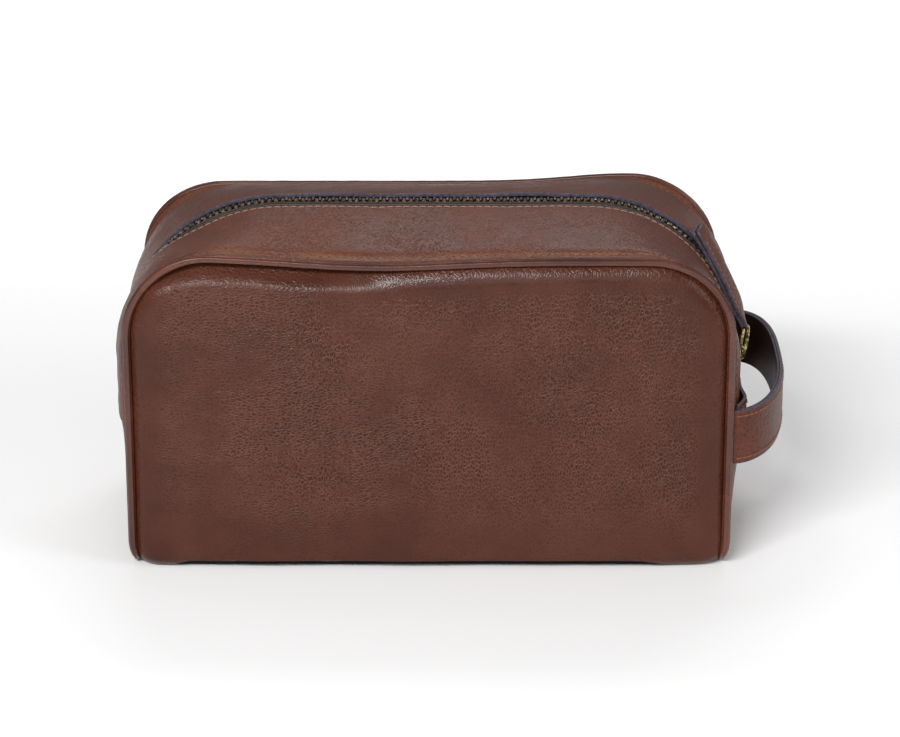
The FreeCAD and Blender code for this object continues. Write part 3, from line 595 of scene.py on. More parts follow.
def acrossSamples(width):
    # fine over the ridge and band, coarse over the middle, fine again at the edge
    return np.concatenate([np.linspace(0, 9, 34), np.linspace(9, width - 2, 22)[1:],
                           np.linspace(width - 2, width, 7)[1:]])


uSamples = np.linspace(0, 1, 360)[:, None]


def curlOpen(piece):
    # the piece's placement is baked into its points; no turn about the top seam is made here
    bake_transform(piece)


def makeGusset(which):
    # outer leather on the strip's surface, its edge painted along the zip, and a lining under it
    setup = gusset[which]
    side = setup["side"]
    width = bag["seamY"] - setup["edgeY"]
    s = acrossSamples(width)[None, :]
    grid = gussetSurface(uSamples, s, setup)
    leather = sheetPiece(f"{which}Gusset", grid, setup["thick"], [gussetLeather, edgePaint],
                         flip=side > 0, rim=1 if side > 0 else 0, rounding=0.6 if side > 0 else 0.3)
    band = np.exp(-((s - 5.2) / 3.0) ** 4) + 0 * uSamples
    addTag(leather, "pull", band * (0.55 + 0.45 * ripple(grid, 26.0, 51 + side)))
    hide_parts(*[f"{which}_{part}_gusset" for part in ("left", "top", "right")])
    bakeModifiers(leather)
    curlOpen(leather)
    inside = np.linspace(2.5, width - 2.5, 20)[None, :]
    lining = sheetPiece(f"{which}GussetLining",
                        gussetSurface(uSamples, inside, setup, depth=setup["thick"] + 0.9, plain=True), 0.5,
                        [liningCloth], flip=side > 0)
    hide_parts(*[f"{which}_{part}_gusset_lining" for part in ("left", "top", "right")])
    bakeModifiers(lining)
    curlOpen(lining)


def bakeModifiers(piece):
    # the evaluated mesh takes the place of the mesh and its modifiers
    bpy.context.view_layer.update()
    graph = bpy.context.evaluated_depsgraph_get()
    mesh = bpy.data.meshes.new_from_object(piece.evaluated_get(graph), depsgraph=graph)
    piece.modifiers.clear()
    piece.data = mesh


makeGusset("front")
makeGusset("back")
print("gusset halves ready")

zipSet = {"pitch": 3.0, "depth": 1.1, "tapeDepth": 2.3, "tapeOuter": 13.0, "tapeInner": 2.3,
          "toothLength": 3.3, "toothWidth": 1.4, "toothHeight": 1.9, "endGap": 5.0, "overlap": 0.65}


def toothTemplate():
    # plan outline of a tooth, from its clamp to its rounded head, raised in three levels
    reach, half = zipSet["toothLength"], zipSet["toothWidth"] / 2
    plan = np.array([(0, -half * 1.15), (0.35, -half * 1.15), (0.5, -half * 0.75), (0.72, -half),
                     (0.92, -half * 0.8), (1, 0), (0.92, half * 0.8), (0.72, half), (0.5, half * 0.75),
                     (0.35, half * 1.15), (0, half * 1.15)])
    plan[:, 0] *= reach
    middle = plan.mean(0)
    levels = [(0.0, 1.0), (0.72, 1.0), (1.0, 0.72)]
    tall = zipSet["toothHeight"]
    return np.stack([np.column_stack([middle + (plan - middle) * size, np.full(len(plan), up * tall)])
                     for up, size in levels])


def makeTeeth(which, phase):
    # the template at every pitch along the zip line, reaching across to the other row
    side = -1 if which == "front" else 1
    dense = np.linspace(0, 1, 1500)
    x, z, nx, nz = zipArch(dense, -zipSet["depth"] - 0.6)
    path = np.stack([x, 0 * x, z], 1)
    normal = np.stack([nx, 0 * nx, nz], 1)
    run = alongPath(path)
    at = np.arange(zipSet["endGap"] + phase * zipSet["pitch"], run[-1] - zipSet["endGap"], zipSet["pitch"])
    centre = np.stack([np.interp(at, run, path[:, k]) for k in range(3)], 1)
    up = unit(np.stack([np.interp(at, run, normal[:, k]) for k in range(3)], 1))
    across = np.array([0.0, -side, 0.0])
    along = np.cross(across, up)
    template = toothTemplate()
    start = centre - across * (zipSet["toothLength"] - zipSet["overlap"])
    points = (start[:, None, None] + across * template[..., :1] + along[:, None, None] * template[..., 1:2]
              + up[:, None, None] * (template[..., 2:] - 0.5))
    count, levels, around = points.shape[:3]
    index = np.arange(count * levels * around).reshape(count, levels, around)
    after = np.roll(index, -1, axis=2)
    quads = np.stack([index[:, :-1], after[:, :-1], after[:, 1:], index[:, 1:]], -1).reshape(-1, 4)
    caps = [row[-1].tolist() for row in index] + [row[0][::-1].tolist() for row in index]
    piece = newPiece(f"{which}ZipTeeth", points.reshape(-1, 3), quads.tolist() + caps, [toothBrass],
                     smooth=False)
    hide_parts(*[f"{which}_{part}_zip_teeth" for part in ("left", "top", "right")])
    curlOpen(piece)


def makeTape(which):
    # a woven strip that drops away under the gusset, with a corded bead along its inner edge
    side = -1 if which == "front" else 1
    y = np.linspace(zipSet["tapeOuter"], zipSet["tapeInner"], 9)[None, :]
    x, z, nx, nz = zipArch(uSamples, -zipSet["tapeDepth"] - 2.4 * smoothStep((y - 3.4) / 3.5))
    grid = np.stack(np.broadcast_arrays(x, side * y + 0 * x, z), -1)
    piece = sheetPiece(f"{which}ZipTape", grid, 0.6, [tapeCloth], flip=side > 0)
    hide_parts(*[f"{which}_{part}_zip_tape" for part in ("left", "top", "right")])
    bakeModifiers(piece)
    curlOpen(piece)
    x, z, nx, nz = (v[:, 0] for v in zipArch(uSamples, -zipSet["tapeDepth"] + 0.35))
    path = np.stack([x, np.full_like(x, side * zipSet["tapeInner"]), z], 1)
    normal = np.stack([nx, 0 * nx, nz], 1)
    sideways = np.broadcast_to([0.0, 1.0, 0.0], path.shape)
    bead = tubePiece(f"{which}TapeBead", path, sideways, -normal, circleRing(0.65, 8), [tapeCloth])
    curlOpen(bead)


def makeStop(name, u, node):
    # a short bar clamped over both rows, square to the zip
    x, z, nx, nz = (float(v) for v in zipArch(np.array(u), -1.6))
    centre = np.array([[x, dy, z] for dy in (-2.7, -2.4, 2.4, 2.7)])
    out = np.tile([nx, 0, nz], (4, 1))
    up = np.tile([-nz, 0, nx], (4, 1))
    ring = slabRing(2.6, 2.0, 0.5, 5)
    scale = np.array([[0.8, 0.8], [1, 1], [1, 1], [0.8, 0.8]])
    piece = tubePiece(name, centre, up, out, ring, [castBrass], scales=scale)
    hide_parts(node)
    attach(piece, "root")


for half, phase in (("front", 0.0), ("back", 0.5)):
    makeTape(half)
    makeTeeth(half, phase)
makeStop("leftZipStop", 0.006, "left_zip_stop")
makeStop("rightZipStop", 0.994, "right_zip_stop")
print("zip ready")

wrapHigh = boxMm("body_wrap")[1]
wrap = {"half": wrapHigh[0] + 2.5, "top": wrapHigh[2] + 2.8, "depth": wrapHigh[1], "corner": 36.0,
        "roll": 6.5, "thick": 1.8, "wallProud": 3.2, "crown": 1.6, "lowSwell": 0.8,
        # how far in from the piping the surface falls away, and by how much on the wall and on the base
        "edge": 10.5, "topEdge": 19.0, "wallEdge": 6.6, "topFall": 6.2, "baseEdge": 1.4,
        # slow and quick unevenness, each as depth and width
        "uneven": (0.5, 60.0), "creases": (0.16, 15.0),
        # the painted-shade strip's height and set-back, and where it ends at each side and over what run
        "soleHeight": 3.7, "soleSet": 4.5, "soleLeft": (117.6, 13.0), "soleRight": (112.5, 22.0)}


def wrapProfile(rows):
    # section of the sheet: down the front, round the roll, along the base and up the back
    top, depth, roll = wrap["top"], wrap["depth"], wrap["roll"]
    bendRow = roll * math.pi / 2
    lengths = np.array([top - roll, bendRow, 2 * (depth - roll), bendRow, top - roll])
    ends = np.concatenate([[0], np.cumsum(lengths)])
    t = np.asarray(rows) * ends[-1]
    part = [np.clip((t - ends[k]) / lengths[k], 0, 1) for k in range(5)]
    first, second = part[1] * math.pi / 2, part[3] * math.pi / 2
    y = (-depth + roll * (1 - np.cos(first)) + 2 * (depth - roll) * part[2] + roll * np.sin(second))
    z = (top - (top - roll) * part[0] - roll * np.sin(first) + roll * (1 - np.cos(second))
         + (top - roll) * part[4])
    return y, z, np.sin(second) - np.cos(first), -np.sin(first) * np.cos(second)


def wrapRows():
    # rows of the sheet, with even turns round the top corners so that the outline stays round
    top, corner, roll, depth = wrap["top"], wrap["corner"], wrap["roll"], wrap["depth"]
    length = 2 * (top - roll) + roll * math.pi + 2 * (depth - roll)
    turned = top - corner + corner * np.sin(np.linspace(math.pi / 2, 0, 40))
    down = (top - np.concatenate([turned, np.linspace(top - corner, roll, 62)[1:]])) / length
    bend = np.linspace(down[-1], down[-1] + roll * math.pi / 2 / length, 48)[1:]
    rest = np.linspace(bend[-1], 0.5, 26)[1:]
    half = np.concatenate([down, bend, rest])
    return np.concatenate([half, (1 - half[::-1])[1:]])


def wrapSurface(rows, columns, depthIn=0.0):
    # the section carried across the bag, crowned in the middle, falling away near the piping, and sagging
    # with the seam; also gives how far each point is part of the near-black strip of painted shade at the
    # base
    y, z, ny, nz = (v[:, None] for v in wrapProfile(rows))
    corner, top = wrap["corner"], wrap["top"]
    over = np.clip(z - (top - corner), 0, corner)
    half = wrap["half"] - corner + np.sqrt(np.maximum(corner ** 2 - over ** 2, 0)) - footTuck(z)
    x = half * columns[None, :]
    inX, inZ = np.abs(x) - (wrap["half"] - corner), z - (top - corner) + 0 * x
    toCorner = corner - np.hypot(np.maximum(inX, 0), np.maximum(inZ, 0))
    toSide = np.where((inX > 0) & (inZ > 0), toCorner, np.minimum(half - np.abs(x), top - z + 0 * x))
    wall = ny ** 2
    upper = smoothStep((z - top + 16) / 12) * smoothStep((10 - x) / 60)
    wide = wrap["edge"] + (wrap["topEdge"] - wrap["edge"]) * upper
    near = 1 - np.clip(toSide / wide, 0, 1)
    fall = 0.3 * near ** 2 + 0.7 * (1 - np.sqrt(np.maximum(1 - near ** 2.4, 0)))
    edge = wrap["baseEdge"] + (wrap["wallEdge"] + wrap["topFall"] * upper - wrap["baseEdge"]) * wall
    crown = wrap["crown"] * smoothStep(toSide / 55) * wall
    flat = np.stack(np.broadcast_arrays(x, y + 0 * x, z + 0 * x), -1)
    (slow, slowWidth), (quick, quickWidth) = wrap["uneven"], wrap["creases"]
    creep = slow * ripple(flat, slowWidth, 5) + quick * ripple(flat, quickWidth, 6)
    creep = creep * wall * smoothStep(toSide / 9)
    swell = wrap["lowSwell"] * smoothStep((40 - z) / 34) * wall
    offset = wrap["wallProud"] * wall + crown + swell - edge * fall + creep - depthIn
    points = flat + offset[..., None] * np.stack([0 * x, ny + 0 * x, nz + 0 * x], -1)
    side = np.where(y < 0, -1, 1) + 0 * x
    sag = np.where(side < 0, seamSag(x, -1), seamSag(x, 1))
    points[..., 2] -= sag * smoothStep((z - 70) / 66)
    # painted shade: a near-black upright strip set back under the leather where the roll is unlit, gone at
    # corners
    (leftEnd, leftRun), (rightEnd, rightRun) = wrap["soleLeft"], wrap["soleRight"]
    shown = smoothStep((leftEnd + x) / leftRun) * smoothStep((rightEnd - x) / rightRun)
    height = wrap["soleHeight"] * shown
    low = points[..., 2]
    under = smoothStep((height - low) / 0.3 + 0.5) * smoothStep(shown * 6)
    standing = wrap["depth"] + wrap["wallProud"] + wrap["lowSwell"] - wrap["soleSet"]
    upright = side * (standing - 2.2 * np.clip(1.0 - low, 0, 1) ** 2)
    atWall = np.abs(points[..., 1]) > wrap["depth"] - wrap["roll"] - 0.01
    points[..., 1] = np.where(atWall, points[..., 1] + (upright - points[..., 1]) * under, points[..., 1])
    return points, under


def edgeColumns(count):
    # columns that crowd towards both ends
    t = np.linspace(-1, 1, count)
    return 0.45 * t + 0.55 * np.sin(t * math.pi / 2)


def wrapPull(rows, columns):
    # pulled hardest in the last few millimetres before the piping, and burnished on the shoulder below that
    _, z, _, _ = (v[:, None] for v in wrapProfile(rows))
    corner, top = wrap["corner"], wrap["top"]
    over = np.clip(z - (top - corner), 0, corner)
    half = wrap["half"] - corner + np.sqrt(np.maximum(corner ** 2 - over ** 2, 0))
    x = half * columns[None, :]
    toEdge = np.minimum(half - np.abs(x), top - z + 0 * x)
    return 0.7 * np.exp(-(toEdge / 3.5) ** 2), np.exp(-((toEdge - 8) / 6.5) ** 2)


def makeWrap():
    # the leather sheet with its tags, and a lining sheet inside it
    columns = edgeColumns(170)
    grid, sole = wrapSurface(wrapRows(), columns)
    piece = sheetPiece("bodyWrap", grid, wrap["thick"], [frontLeather], flip=False)
    pull, burnish = wrapPull(wrapRows(), columns)
    # the third tag marks where the base strip is coloured near-black as painted shade
    for name, values in (("pull", pull), ("burnish", burnish), ("sole", sole)):
        addTag(piece, name, values)
    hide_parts("body_wrap")
    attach(piece, "root")
    rows = wrapRows()[::2]
    inside = sheetPiece("bodyLining", wrapSurface(rows, edgeColumns(70) * 0.985, depthIn=5.8)[0], 0.5,
                        [liningCloth], flip=False)
    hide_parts("body_lining")
    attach(inside, "root")


makeWrap()
print("wrap ready")

pipe = {"radius": 1.75, "grow": 0.55, "y": 58.4, "roll": 7.5, "low": 2.3, "creases": 6, "creaseDepth": 0.13}


def pipingLine(side):
    # from the middle of one base end, up one side, over the top and back down to the other base end
    u = np.linspace(0, 1, 500)
    x, z, _, _ = seamArch(u, side, pipe["grow"], low=pipe["roll"] + pipe["low"])
    arc = np.stack([x, np.full_like(x, side * pipe["y"]), z], 1)
    turn = np.linspace(0, math.pi / 2, 24)[:-1]
    runs = []
    for end in (arc[0], arc[-1]):
        rollY = side * (pipe["y"] - pipe["roll"])
        bendY = rollY + side * pipe["roll"] * np.sin(turn)
        bendZ = pipe["low"] + pipe["roll"] * (1 - np.cos(turn))
        bend = np.stack([np.full_like(turn, end[0]), bendY, bendZ], 1)
        flatY = np.linspace(0, rollY, 40)[:-1]
        flat = np.stack([np.full_like(flatY, end[0]), flatY, np.full_like(flatY, pipe["low"])], 1)
        runs.append(np.vstack([flat, bend]))
    line = np.vstack([runs[0], arc, runs[1][::-1]])
    line[:, 0] -= np.sign(line[:, 0]) * footTuck(line[:, 2])
    return evenly(line, 1.1)


def makePiping(which):
    # a round cord carried along the seam line, with creases along it and a slight wobble in its size
    side = -1 if which == "front" else 1
    line = pipingLine(side)
    out = unit(line - np.array([0, 0, 62.0]))
    across, out = frames(line, out)
    ring = circleRing(pipe["radius"], 30)
    turn = np.arctan2(ring[:, 1], ring[:, 0])
    ring = ring * (1 + pipe["creaseDepth"] * np.cos(pipe["creases"] * turn + 0.6))[:, None]
    wobble = 1 + 0.025 * ripple(line, 11.0, 31 + side)
    piece = tubePiece(f"{which}Piping", line, across, out, ring, [pipingLeather],
                      scales=np.stack([wobble, wobble], 1))
    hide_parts(f"{which}_piping", f"{which}_piping_cord")
    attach(piece, "root")


makePiping("front")
makePiping("back")
print("piping ready")

patchBottom, patchUpper = boxMm("handle_patch")
sideSet = {"low": 3.2, "top": bag["zipLow"] + 4.0, "thick": 1.7, "lap": 0.9,
           "patchLow": patchBottom[2], "patchTop": patchUpper[2], "patchProud": 2.4, "patchThick": 1.5,
           # how square the dome is, its share of fullness at the base, and the height it fills out over
           "squareness": 2.7, "lowestShare": 0.3, "fullHeight": 40, "cornerCut": 7.5, "liningDepth": 2.4,
           # slow and quick unevenness, each as depth and width
           "uneven": (0.35, 38.0), "creases": (0.1, 10.0)}


def sideSurface(sign, y, z, proud=0.0):
    # crowned between the seams, full at the zip's end and nearly flat at the base
    zipHalf = bag["zipHalfRight"] if sign > 0 else bag["zipHalfLeft"]
    reach = np.clip(np.abs(y) / bag["seamY"], 0, 1)
    dome = (1 - reach ** sideSet["squareness"]) ** (1 / sideSet["squareness"])
    lowest = sideSet["lowestShare"]
    full = lowest + (1 - lowest) * smoothStep((z + 6) / sideSet["fullHeight"])
    bulge = (zipHalf - 1.2 - bag["seamHalf"]) * full * dome
    tuck = footTuck(z) + 1.4 * smoothStep((9 - z) / 7)
    x = bag["seamHalf"] - tuck + bulge + proud
    points = np.stack(np.broadcast_arrays(sign * x, y + 0 * x, z + 0 * x), -1)
    points[..., 0] += sign * belly(bag["seamY"] - np.abs(points[..., 1]), sign) * smoothStep((z - 28) / 30)
    (slow, slowWidth), (quick, quickWidth) = sideSet["uneven"], sideSet["creases"]
    creep = slow * ripple(points, slowWidth, 41 + sign) + quick * ripple(points, quickWidth, 43)
    points[..., 0] += sign * creep * dome
    return points


def spread(low, high, count):
    # samples from low to high that crowd towards both ends
    return low + (high - low) * (1 - np.cos(np.linspace(0, math.pi, count))) / 2


def makeSides():
    # each lower side panel, its turned top edge lapping over the gusset, and its lining
    for sign, name in ((-1, "left"), (1, "right")):
        z = np.concatenate([np.linspace(sideSet["low"], 16, 14), np.linspace(16, sideSet["top"], 30)[1:]])
        lowHalf = bag["seamY"] - sideSet["cornerCut"] * smoothStep((12 - z) / 9) ** 1.2
        across = spread(-1, 1, 60)
        y = lowHalf[:, None] * across[None, :]
        turned = sideSet["lap"] * smoothStep((z - sideSet["top"] + 14) / 8)[:, None]
        grid = sideSurface(sign, y, z[:, None] + 0 * y, turned)
        piece = sheetPiece(f"{name}SidePanel", grid, sideSet["thick"], [gussetLeather, edgePaint],
                           flip=sign > 0, rim=1, inner=0)
        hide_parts(f"{name}_side_panel")
        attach(piece, "root")
        inside = sideSurface(sign, y * 0.985, z[:, None] + 0 * y, -sideSet["liningDepth"])
        inner = sheetPiece(f"{name}SideLining", inside, 0.5, [liningCloth], flip=sign > 0)
        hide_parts(f"{name}_side_lining")
        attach(inner, "root")


def makePatch():
    # a raised band across the side panel, with a row of stitches near each edge
    y = spread(-bag["seamY"] + 0.6, bag["seamY"] - 0.6, 60)[None, :]
    z = np.linspace(sideSet["patchLow"], sideSet["patchTop"], 24)[:, None]
    grid = sideSurface(1, y + 0 * z, z + 0 * y, sideSet["patchProud"])
    piece = sheetPiece("handlePatch", grid, sideSet["patchThick"], [gussetLeather, edgePaint], flip=True,
                       rim=1, rounding=0.35)
    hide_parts("handle_patch")
    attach(piece, "root")
    rowSet = {"pitch": 3.0, "length": 2.4, "thread": 0.3}
    for k, height in enumerate((sideSet["patchLow"] + 2.2, sideSet["patchTop"] - 2.2)):
        line = sideSurface(1, y[0], np.full_like(y[0], height), sideSet["patchProud"] + 0.05)
        stitchRow(f"patchStitches{k}", line, np.tile([1.0, 0, 0], (len(line), 1)), rowSet, brownThread,
                  "root", 3.0)


makeSides()
makePatch()
print("sides ready")

strap = {"start": 133.2, "reach": 27.0, "span": 57.2, "frontPower": 1.95, "backPower": 3.1, "width": 25.0,
         "middle": (patchBottom[2] + patchUpper[2]) / 2 + 2.4, "outer": 1.6, "inner": 1.1, "tilt": 4.2}


def strapLine(inset):
    # plan of the bowed strap from seam to seam: rounder at the front, squarer at the back
    turn = np.linspace(-math.pi / 2, math.pi / 2, 600)
    power = np.where(turn < 0, strap["frontPower"], strap["backPower"])
    x = strap["start"] + (strap["reach"] - inset) * np.maximum(np.cos(turn), 0) ** (2 / power)
    y = (strap["span"] - inset) * np.sign(turn) * np.abs(np.sin(turn)) ** (2 / power)
    z = strap["middle"] + strap["tilt"] * y / strap["span"] + 0.5 * np.sin(y / 17)
    return evenly(np.stack([x, y, z], 1), 1.3)


def strapPiece(name, inset, thick, facing, nodes, crown):
    # a flat section carried along the strap's line, its two edges painted
    line = strapLine(inset)
    along = unit(np.gradient(line, axis=0))
    up = np.tile([0.0, 0.0, 1.0], (len(line), 1))
    out = unit(np.cross(along, up))
    up = unit(np.cross(out, along))
    ring = slabRing(strap["width"], thick, 0.45, 13, crown)
    edge = np.abs(ring[:, 0]) > strap["width"] / 2 - 0.75
    piece = tubePiece(name, line - out * thick, up, out, ring, [facing, edgePaint],
                      np.where(edge & np.roll(edge, -1), 1, 0))
    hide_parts(*nodes)
    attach(piece, "root")
    return line, out, up


def makeStrap():
    # outer leather, dark lining under it, and a row of stitches along each edge
    line, out, up = strapPiece("handleOuter", 0.0, strap["outer"], gussetLeather,
                               ["handle_outer", "handle_core"], 0.35)
    strapPiece("handleLining", strap["outer"] + 0.02, strap["inner"], strapLining, ["handle_lining"],
               0.0)
    rowSet = {"pitch": 3.0, "length": 2.4, "thread": 0.32}
    for k, sign in enumerate((-1, 1)):
        row = line + up * sign * (strap["width"] / 2 - 2.6) + out * 0.12
        stitchRow(f"handleStitches{k}", row, out, rowSet, brownThread, "root", 2.0)


makeStrap()
print("handle ready")


def gussetStitches():
    # a row beside the zip on the front half, and the seam row outside both ridges
    u = np.linspace(0.0, 1, 700)
    for which in ("front", "back"):
        setup = gusset[which]
        side = setup["side"]
        width = bag["seamY"] - setup["edgeY"]
        _, _, nx, nz = seamArch(u, side)
        normal = np.stack([nx, 0 * nx, nz], 1)
        seamRow = gussetSurface(u, np.full_like(u, gusset["holes"]), setup) + normal * 0.02
        piece = stitchRow(f"{which}SeamStitches", seamRow, normal,
                          {"pitch": 3.4, "length": 1.7, "thread": 0.2}, warmThread)
        curlOpen(piece)
        if side < 0:
            zipRow = gussetSurface(u, np.full_like(u, width - 2.9), setup) + normal * 0.05
            piece = stitchRow(f"{which}ZipStitches", zipRow, normal,
                              {"pitch": 3.6, "length": 3.0, "thread": 0.27}, paleThread)
            curlOpen(piece)


gussetStitches()
print("stitches ready")

ringPivot = np.array(hinges["ring_swing"]["pos_m"]) / mm
pullPivot = np.array(hinges["puller_swing"]["pos_m"]) / mm
sliderLow = boxMm("slider_upper_wing")[0]
slide = {"face": 138.5, "low": sliderLow[2], "length": 12.0, "half": 3.9, "bailWire": 0.75,
         "upperIn": 0.4, "upperThick": 1.9, "lowerIn": 4.6, "lowerThick": 1.0}
pullOval = {"twist": 24.0, "half": 4.3, "wire": 1.0, "proud": 0.7, "squareness": 2.6}
puller = {"lean": 19.9, "length": 52.0, "half": 5.5, "layer": 1.35, "curl": 5.2, "twist": 18.0, "stand": 0.3,
          "tip": 3.0, "loopRadius": 1.25, "loopWidth": 5.8, "loopThick": 0.6,
          # the waist's share of the full width; how far the layers part along the puller and at its tip
          "waist": 0.56, "gap": 0.12, "tipGap": 0.35, "tipGapFrom": 40, "tipGapRun": 9}


def makeWing(name, faceX, thick, outward, node):
    # domed plate with round ends, turned down at its sides
    t = np.linspace(-1, 1, 15)
    z = slide["low"] + slide["length"] * (t + 1) / 2
    plan = np.clip(1 - np.abs(t) ** 3.2, 0.02, 1) ** (1 / 2.4)
    taper = 1 - 0.16 * smoothStep((1 - t) / 2)
    centres = np.stack([np.full_like(z, faceX), 0 * z, z], 1)
    side = np.tile([0.0, 1.0, 0.0], (len(t), 1))
    out = np.tile([outward, 0.0, 0.0], (len(t), 1))
    ring = slabRing(2 * slide["half"], thick, 0.45, 9, 0.35)
    scales = np.stack([plan * taper, 0.75 + 0.25 * plan], 1)
    piece = tubePiece(name, centres, side * outward, out, ring, [castBrass], scales=scales)
    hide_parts(node)
    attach(piece, "zip_slider")


def makeBail():
    # half loop of wire standing on the slider
    low, high = boxMm("slider_bail")
    turn = np.linspace(-math.pi / 2, math.pi / 2, 25)
    middle, half = (low[2] + high[2]) / 2, (high[2] - low[2]) / 2 - slide["bailWire"]
    x = low[0] - 0.4 + (high[0] - low[0] - slide["bailWire"] + 0.4) * np.cos(turn) ** 0.7
    path = np.stack([x, 0 * x, middle + half * np.sin(turn)], 1)
    sideways = np.tile([0.0, 1.0, 0.0], (len(turn), 1))
    along = unit(np.gradient(path, axis=0))
    out = unit(np.cross(along, sideways))
    ring = circleRing(slide["bailWire"], 10) * [1.4, 0.8]
    piece = tubePiece("sliderBail", path, sideways, -out, ring, [castBrass])
    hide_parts("slider_bail")
    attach(piece, "zip_slider")


def makeRing():
    # oval of round wire between the two pivots
    turn = np.linspace(0, 2 * math.pi, 56, endpoint=False)
    up = unit(pullPivot - ringPivot)
    reach = np.linalg.norm(pullPivot - ringPivot)
    power = 2 / pullOval["squareness"]
    twist = math.radians(pullOval["twist"])
    across = np.array([math.sin(twist), math.cos(twist), 0.0])
    along = np.sign(np.cos(turn)) * np.abs(np.cos(turn)) ** power * reach / 2
    wide = np.sign(np.sin(turn)) * np.abs(np.sin(turn)) ** power * pullOval["half"]
    centre = (ringPivot + pullPivot) / 2 + np.array([pullOval["proud"], 0.0, 0.0])
    path = centre + along[:, None] * up + wide[:, None] * across
    closedPath = np.vstack([path[-1:], path, path[:1]])
    tangent = unit(closedPath[2:] - closedPath[:-2])
    out = np.tile(unit(np.cross(up, across)), (len(turn), 1))
    piece = tubePiece("pullRing", path, unit(np.cross(tangent, out)), out, circleRing(pullOval["wire"], 12),
                      [castBrass], closed=True)
    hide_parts("pull_ring")
    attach(piece, "ring")


def makePuller():
    # two leather layers with painted edges, narrowed into the fold that holds the ring
    lean = math.radians(puller["lean"])
    up = np.array([-math.sin(lean), 0.0, math.cos(lean)])
    out = np.array([math.cos(lean), 0.0, math.sin(lean)])
    side = np.array([0.0, 1.0, 0.0])
    tipStart = puller["length"] - puller["tip"]
    t = np.concatenate([np.linspace(1.0, 8.0, 10), np.linspace(8.0, tipStart, 24)[1:],
                        tipStart + puller["tip"] * np.sin(np.linspace(0, math.pi / 2, 9))[1:]])
    widths = puller["waist"] + (1 - puller["waist"]) * smoothStep((t - 1.5) / 7.0)
    tip = np.clip((t - tipStart) / puller["tip"], 0, 1)
    widths = widths * (1 - 0.38 * (1 - np.sqrt(np.maximum(1 - tip ** 2, 0))) - 0.02)

    def tipGap(run):
        # how far the layers part towards the tip
        return puller["tipGap"] * smoothStep((run - puller["tipGapFrom"]) / puller["tipGapRun"])

    def placed(run):
        # middle line of the puller, curling in towards its tip, and its own turned directions
        twist = math.radians(puller["twist"]) * smoothStep(run / 14)[:, None]
        sideways = side * np.cos(twist) + out * np.sin(twist)
        outwards = out * np.cos(twist) - side * np.sin(twist)
        share = run / puller["length"]
        stand = puller["stand"] * smoothStep(run / 8) - puller["curl"] * share ** 2
        return pullPivot + run[:, None] * up + stand[:, None] * out, sideways, outwards

    middle, sideways, outwards = placed(t)
    for name, sign, node in (("pullerFront", 1, "puller_front"), ("pullerBack", -1, "puller_back")):
        ring = slabRing(2 * puller["half"], puller["layer"] + 0.1, 0.3, 11, 0.25 if sign > 0 else 0.0)
        gap = puller["gap"] * np.sin(np.clip(t / puller["length"], 0, 1) * math.pi) + tipGap(t)
        base = middle + (sign * (gap + 0.03))[:, None] * outwards
        edge = np.abs(ring[:, 0]) > puller["half"] - 0.5
        piece = tubePiece(name, base, sideways * sign, outwards * sign, ring,
                          [gussetLeather, edgePaint], np.where(edge & np.roll(edge, -1), 1, 0),
                          scales=np.stack([widths, np.ones_like(t)], 1))
        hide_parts(node)
        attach(piece, "puller")
    turn = np.linspace(0, 2 * math.pi, 28, endpoint=False)
    radial = np.cos(turn)[:, None] * up + np.sin(turn)[:, None] * out
    thick = puller["loopThick"]
    ring = slabRing(puller["loopWidth"], thick, 0.2, 5) - [0, thick / 2]
    loopPath = pullPivot + puller["loopRadius"] * radial
    loop = tubePiece("pullerLoop", loopPath, np.tile(side, (len(turn), 1)), radial, ring, [gussetLeather],
                     closed=True)
    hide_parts("puller_loop")
    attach(loop, "puller")
    run = np.linspace(10, puller["length"] - 3.5, 40)
    middle, sideways, outwards = placed(run)
    rise = puller["layer"] + 0.18 + tipGap(run)
    for k, sign in enumerate((-1, 1)):
        row = middle + rise[:, None] * outwards + sideways * sign * (puller["half"] - 1.7)
        stitchRow(f"pullerStitches{k}", row, outwards, {"pitch": 2.8, "length": 2.2, "thread": 0.22},
                  paleThread, "puller")


makeWing("sliderUpperWing", slide["face"] - slide["upperIn"], slide["upperThick"], 1.0, "slider_upper_wing")
makeWing("sliderLowerWing", slide["face"] - slide["lowerIn"], slide["lowerThick"], -1.0, "slider_lower_wing")
makeBail()
makeRing()
makePuller()
print("slider and puller ready")

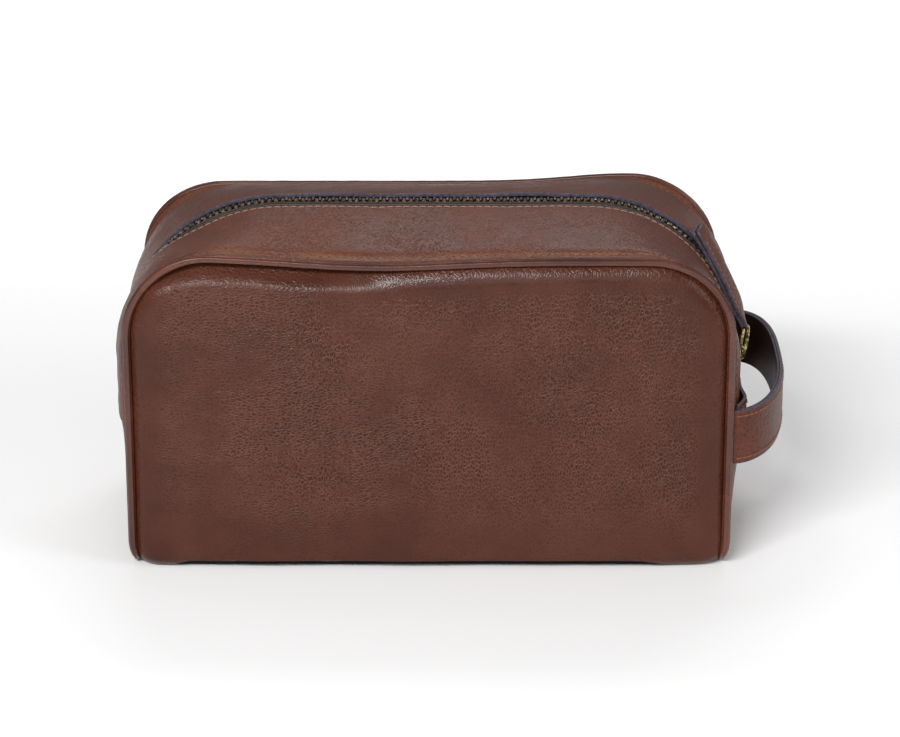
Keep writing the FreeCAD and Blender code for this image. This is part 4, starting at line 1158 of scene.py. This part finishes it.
# the inner boards keep their CAD shape
for node in ("front_interlining", "back_interlining", "base_board"):
    body = frame["nodes"][node]
    body.data.materials.clear()
    body.data.materials.append(feltBoard)


studio = {
    "surroundings": 0.25, "floor": "#fafafa", "floorReach": 6000.0,
    "lamps": {      # place, aim and size in metres, power in watts, spread in degrees
        "overhead": ((0.1, 0.9, 1.15), (0, 0, 0.1), (1.0, 0.4), 6, 180),
        "key": ((-0.5, -1.25, 1.05), (0, 0, 0.08), (0.9, 0.18), 24, 180),
        "frontFill": ((0.1, -2.0, 0.7), (0, 0, 0.07), (1.6, 0.8), 7, 180),
        "backdrop": ((0.0, 0.95, 1.3), (0.0, 0.95, 0.0), (2.4, 0.7), 5, 50),
        "sideFill": ((1.4, -0.8, 0.8), (0, 0, 0.07), (0.7, 0.9), 7, 180),
    },
}


def makeFloor():
    # matt white paper, six metres each way
    material, tree, _ = newMaterial("paleFloor")
    finishMaterial(material, tree, {"Base Color": colour(studio["floor"]), "Roughness": 0.9})
    far = studio["floorReach"]
    points = np.array([(-far, -far, 0), (far, -far, 0), (far, far, 0), (-far, far, 0)])
    floor = newPiece("floor", points, [[0, 1, 2, 3]], [material], smooth=False)


def softbox(name, place, aim, size, power, spreadDegrees):
    # rectangular lamp at a place, turned to an aim
    data = bpy.data.lights.new(name, "AREA")
    data.shape = "RECTANGLE"
    data.size, data.size_y = size
    data.energy = power
    data.spread = math.radians(spreadDegrees)
    lamp = bpy.data.objects.new(name, data)
    lamp.location = place
    lamp.rotation_euler = (Vector(aim) - Vector(place)).to_track_quat("-Z", "Y").to_euler()
    bpy.context.scene.collection.objects.link(lamp)


def makeLight():
    # white surroundings, a high key from the left, broad fills, and a lamp for the floor behind
    world = bpy.data.worlds.new("paleStudio")
    world.use_nodes = True
    background = world.node_tree.nodes["Background"]
    background.inputs["Color"].default_value = (1, 1, 1, 1)
    background.inputs["Strength"].default_value = studio["surroundings"]
    bpy.context.scene.world = world
    bpy.context.scene.view_settings.view_transform = "Standard"
    for name, lamp in studio["lamps"].items():
        softbox(name, *lamp)


makeFloor()
makeLight()
print("floor and light ready")
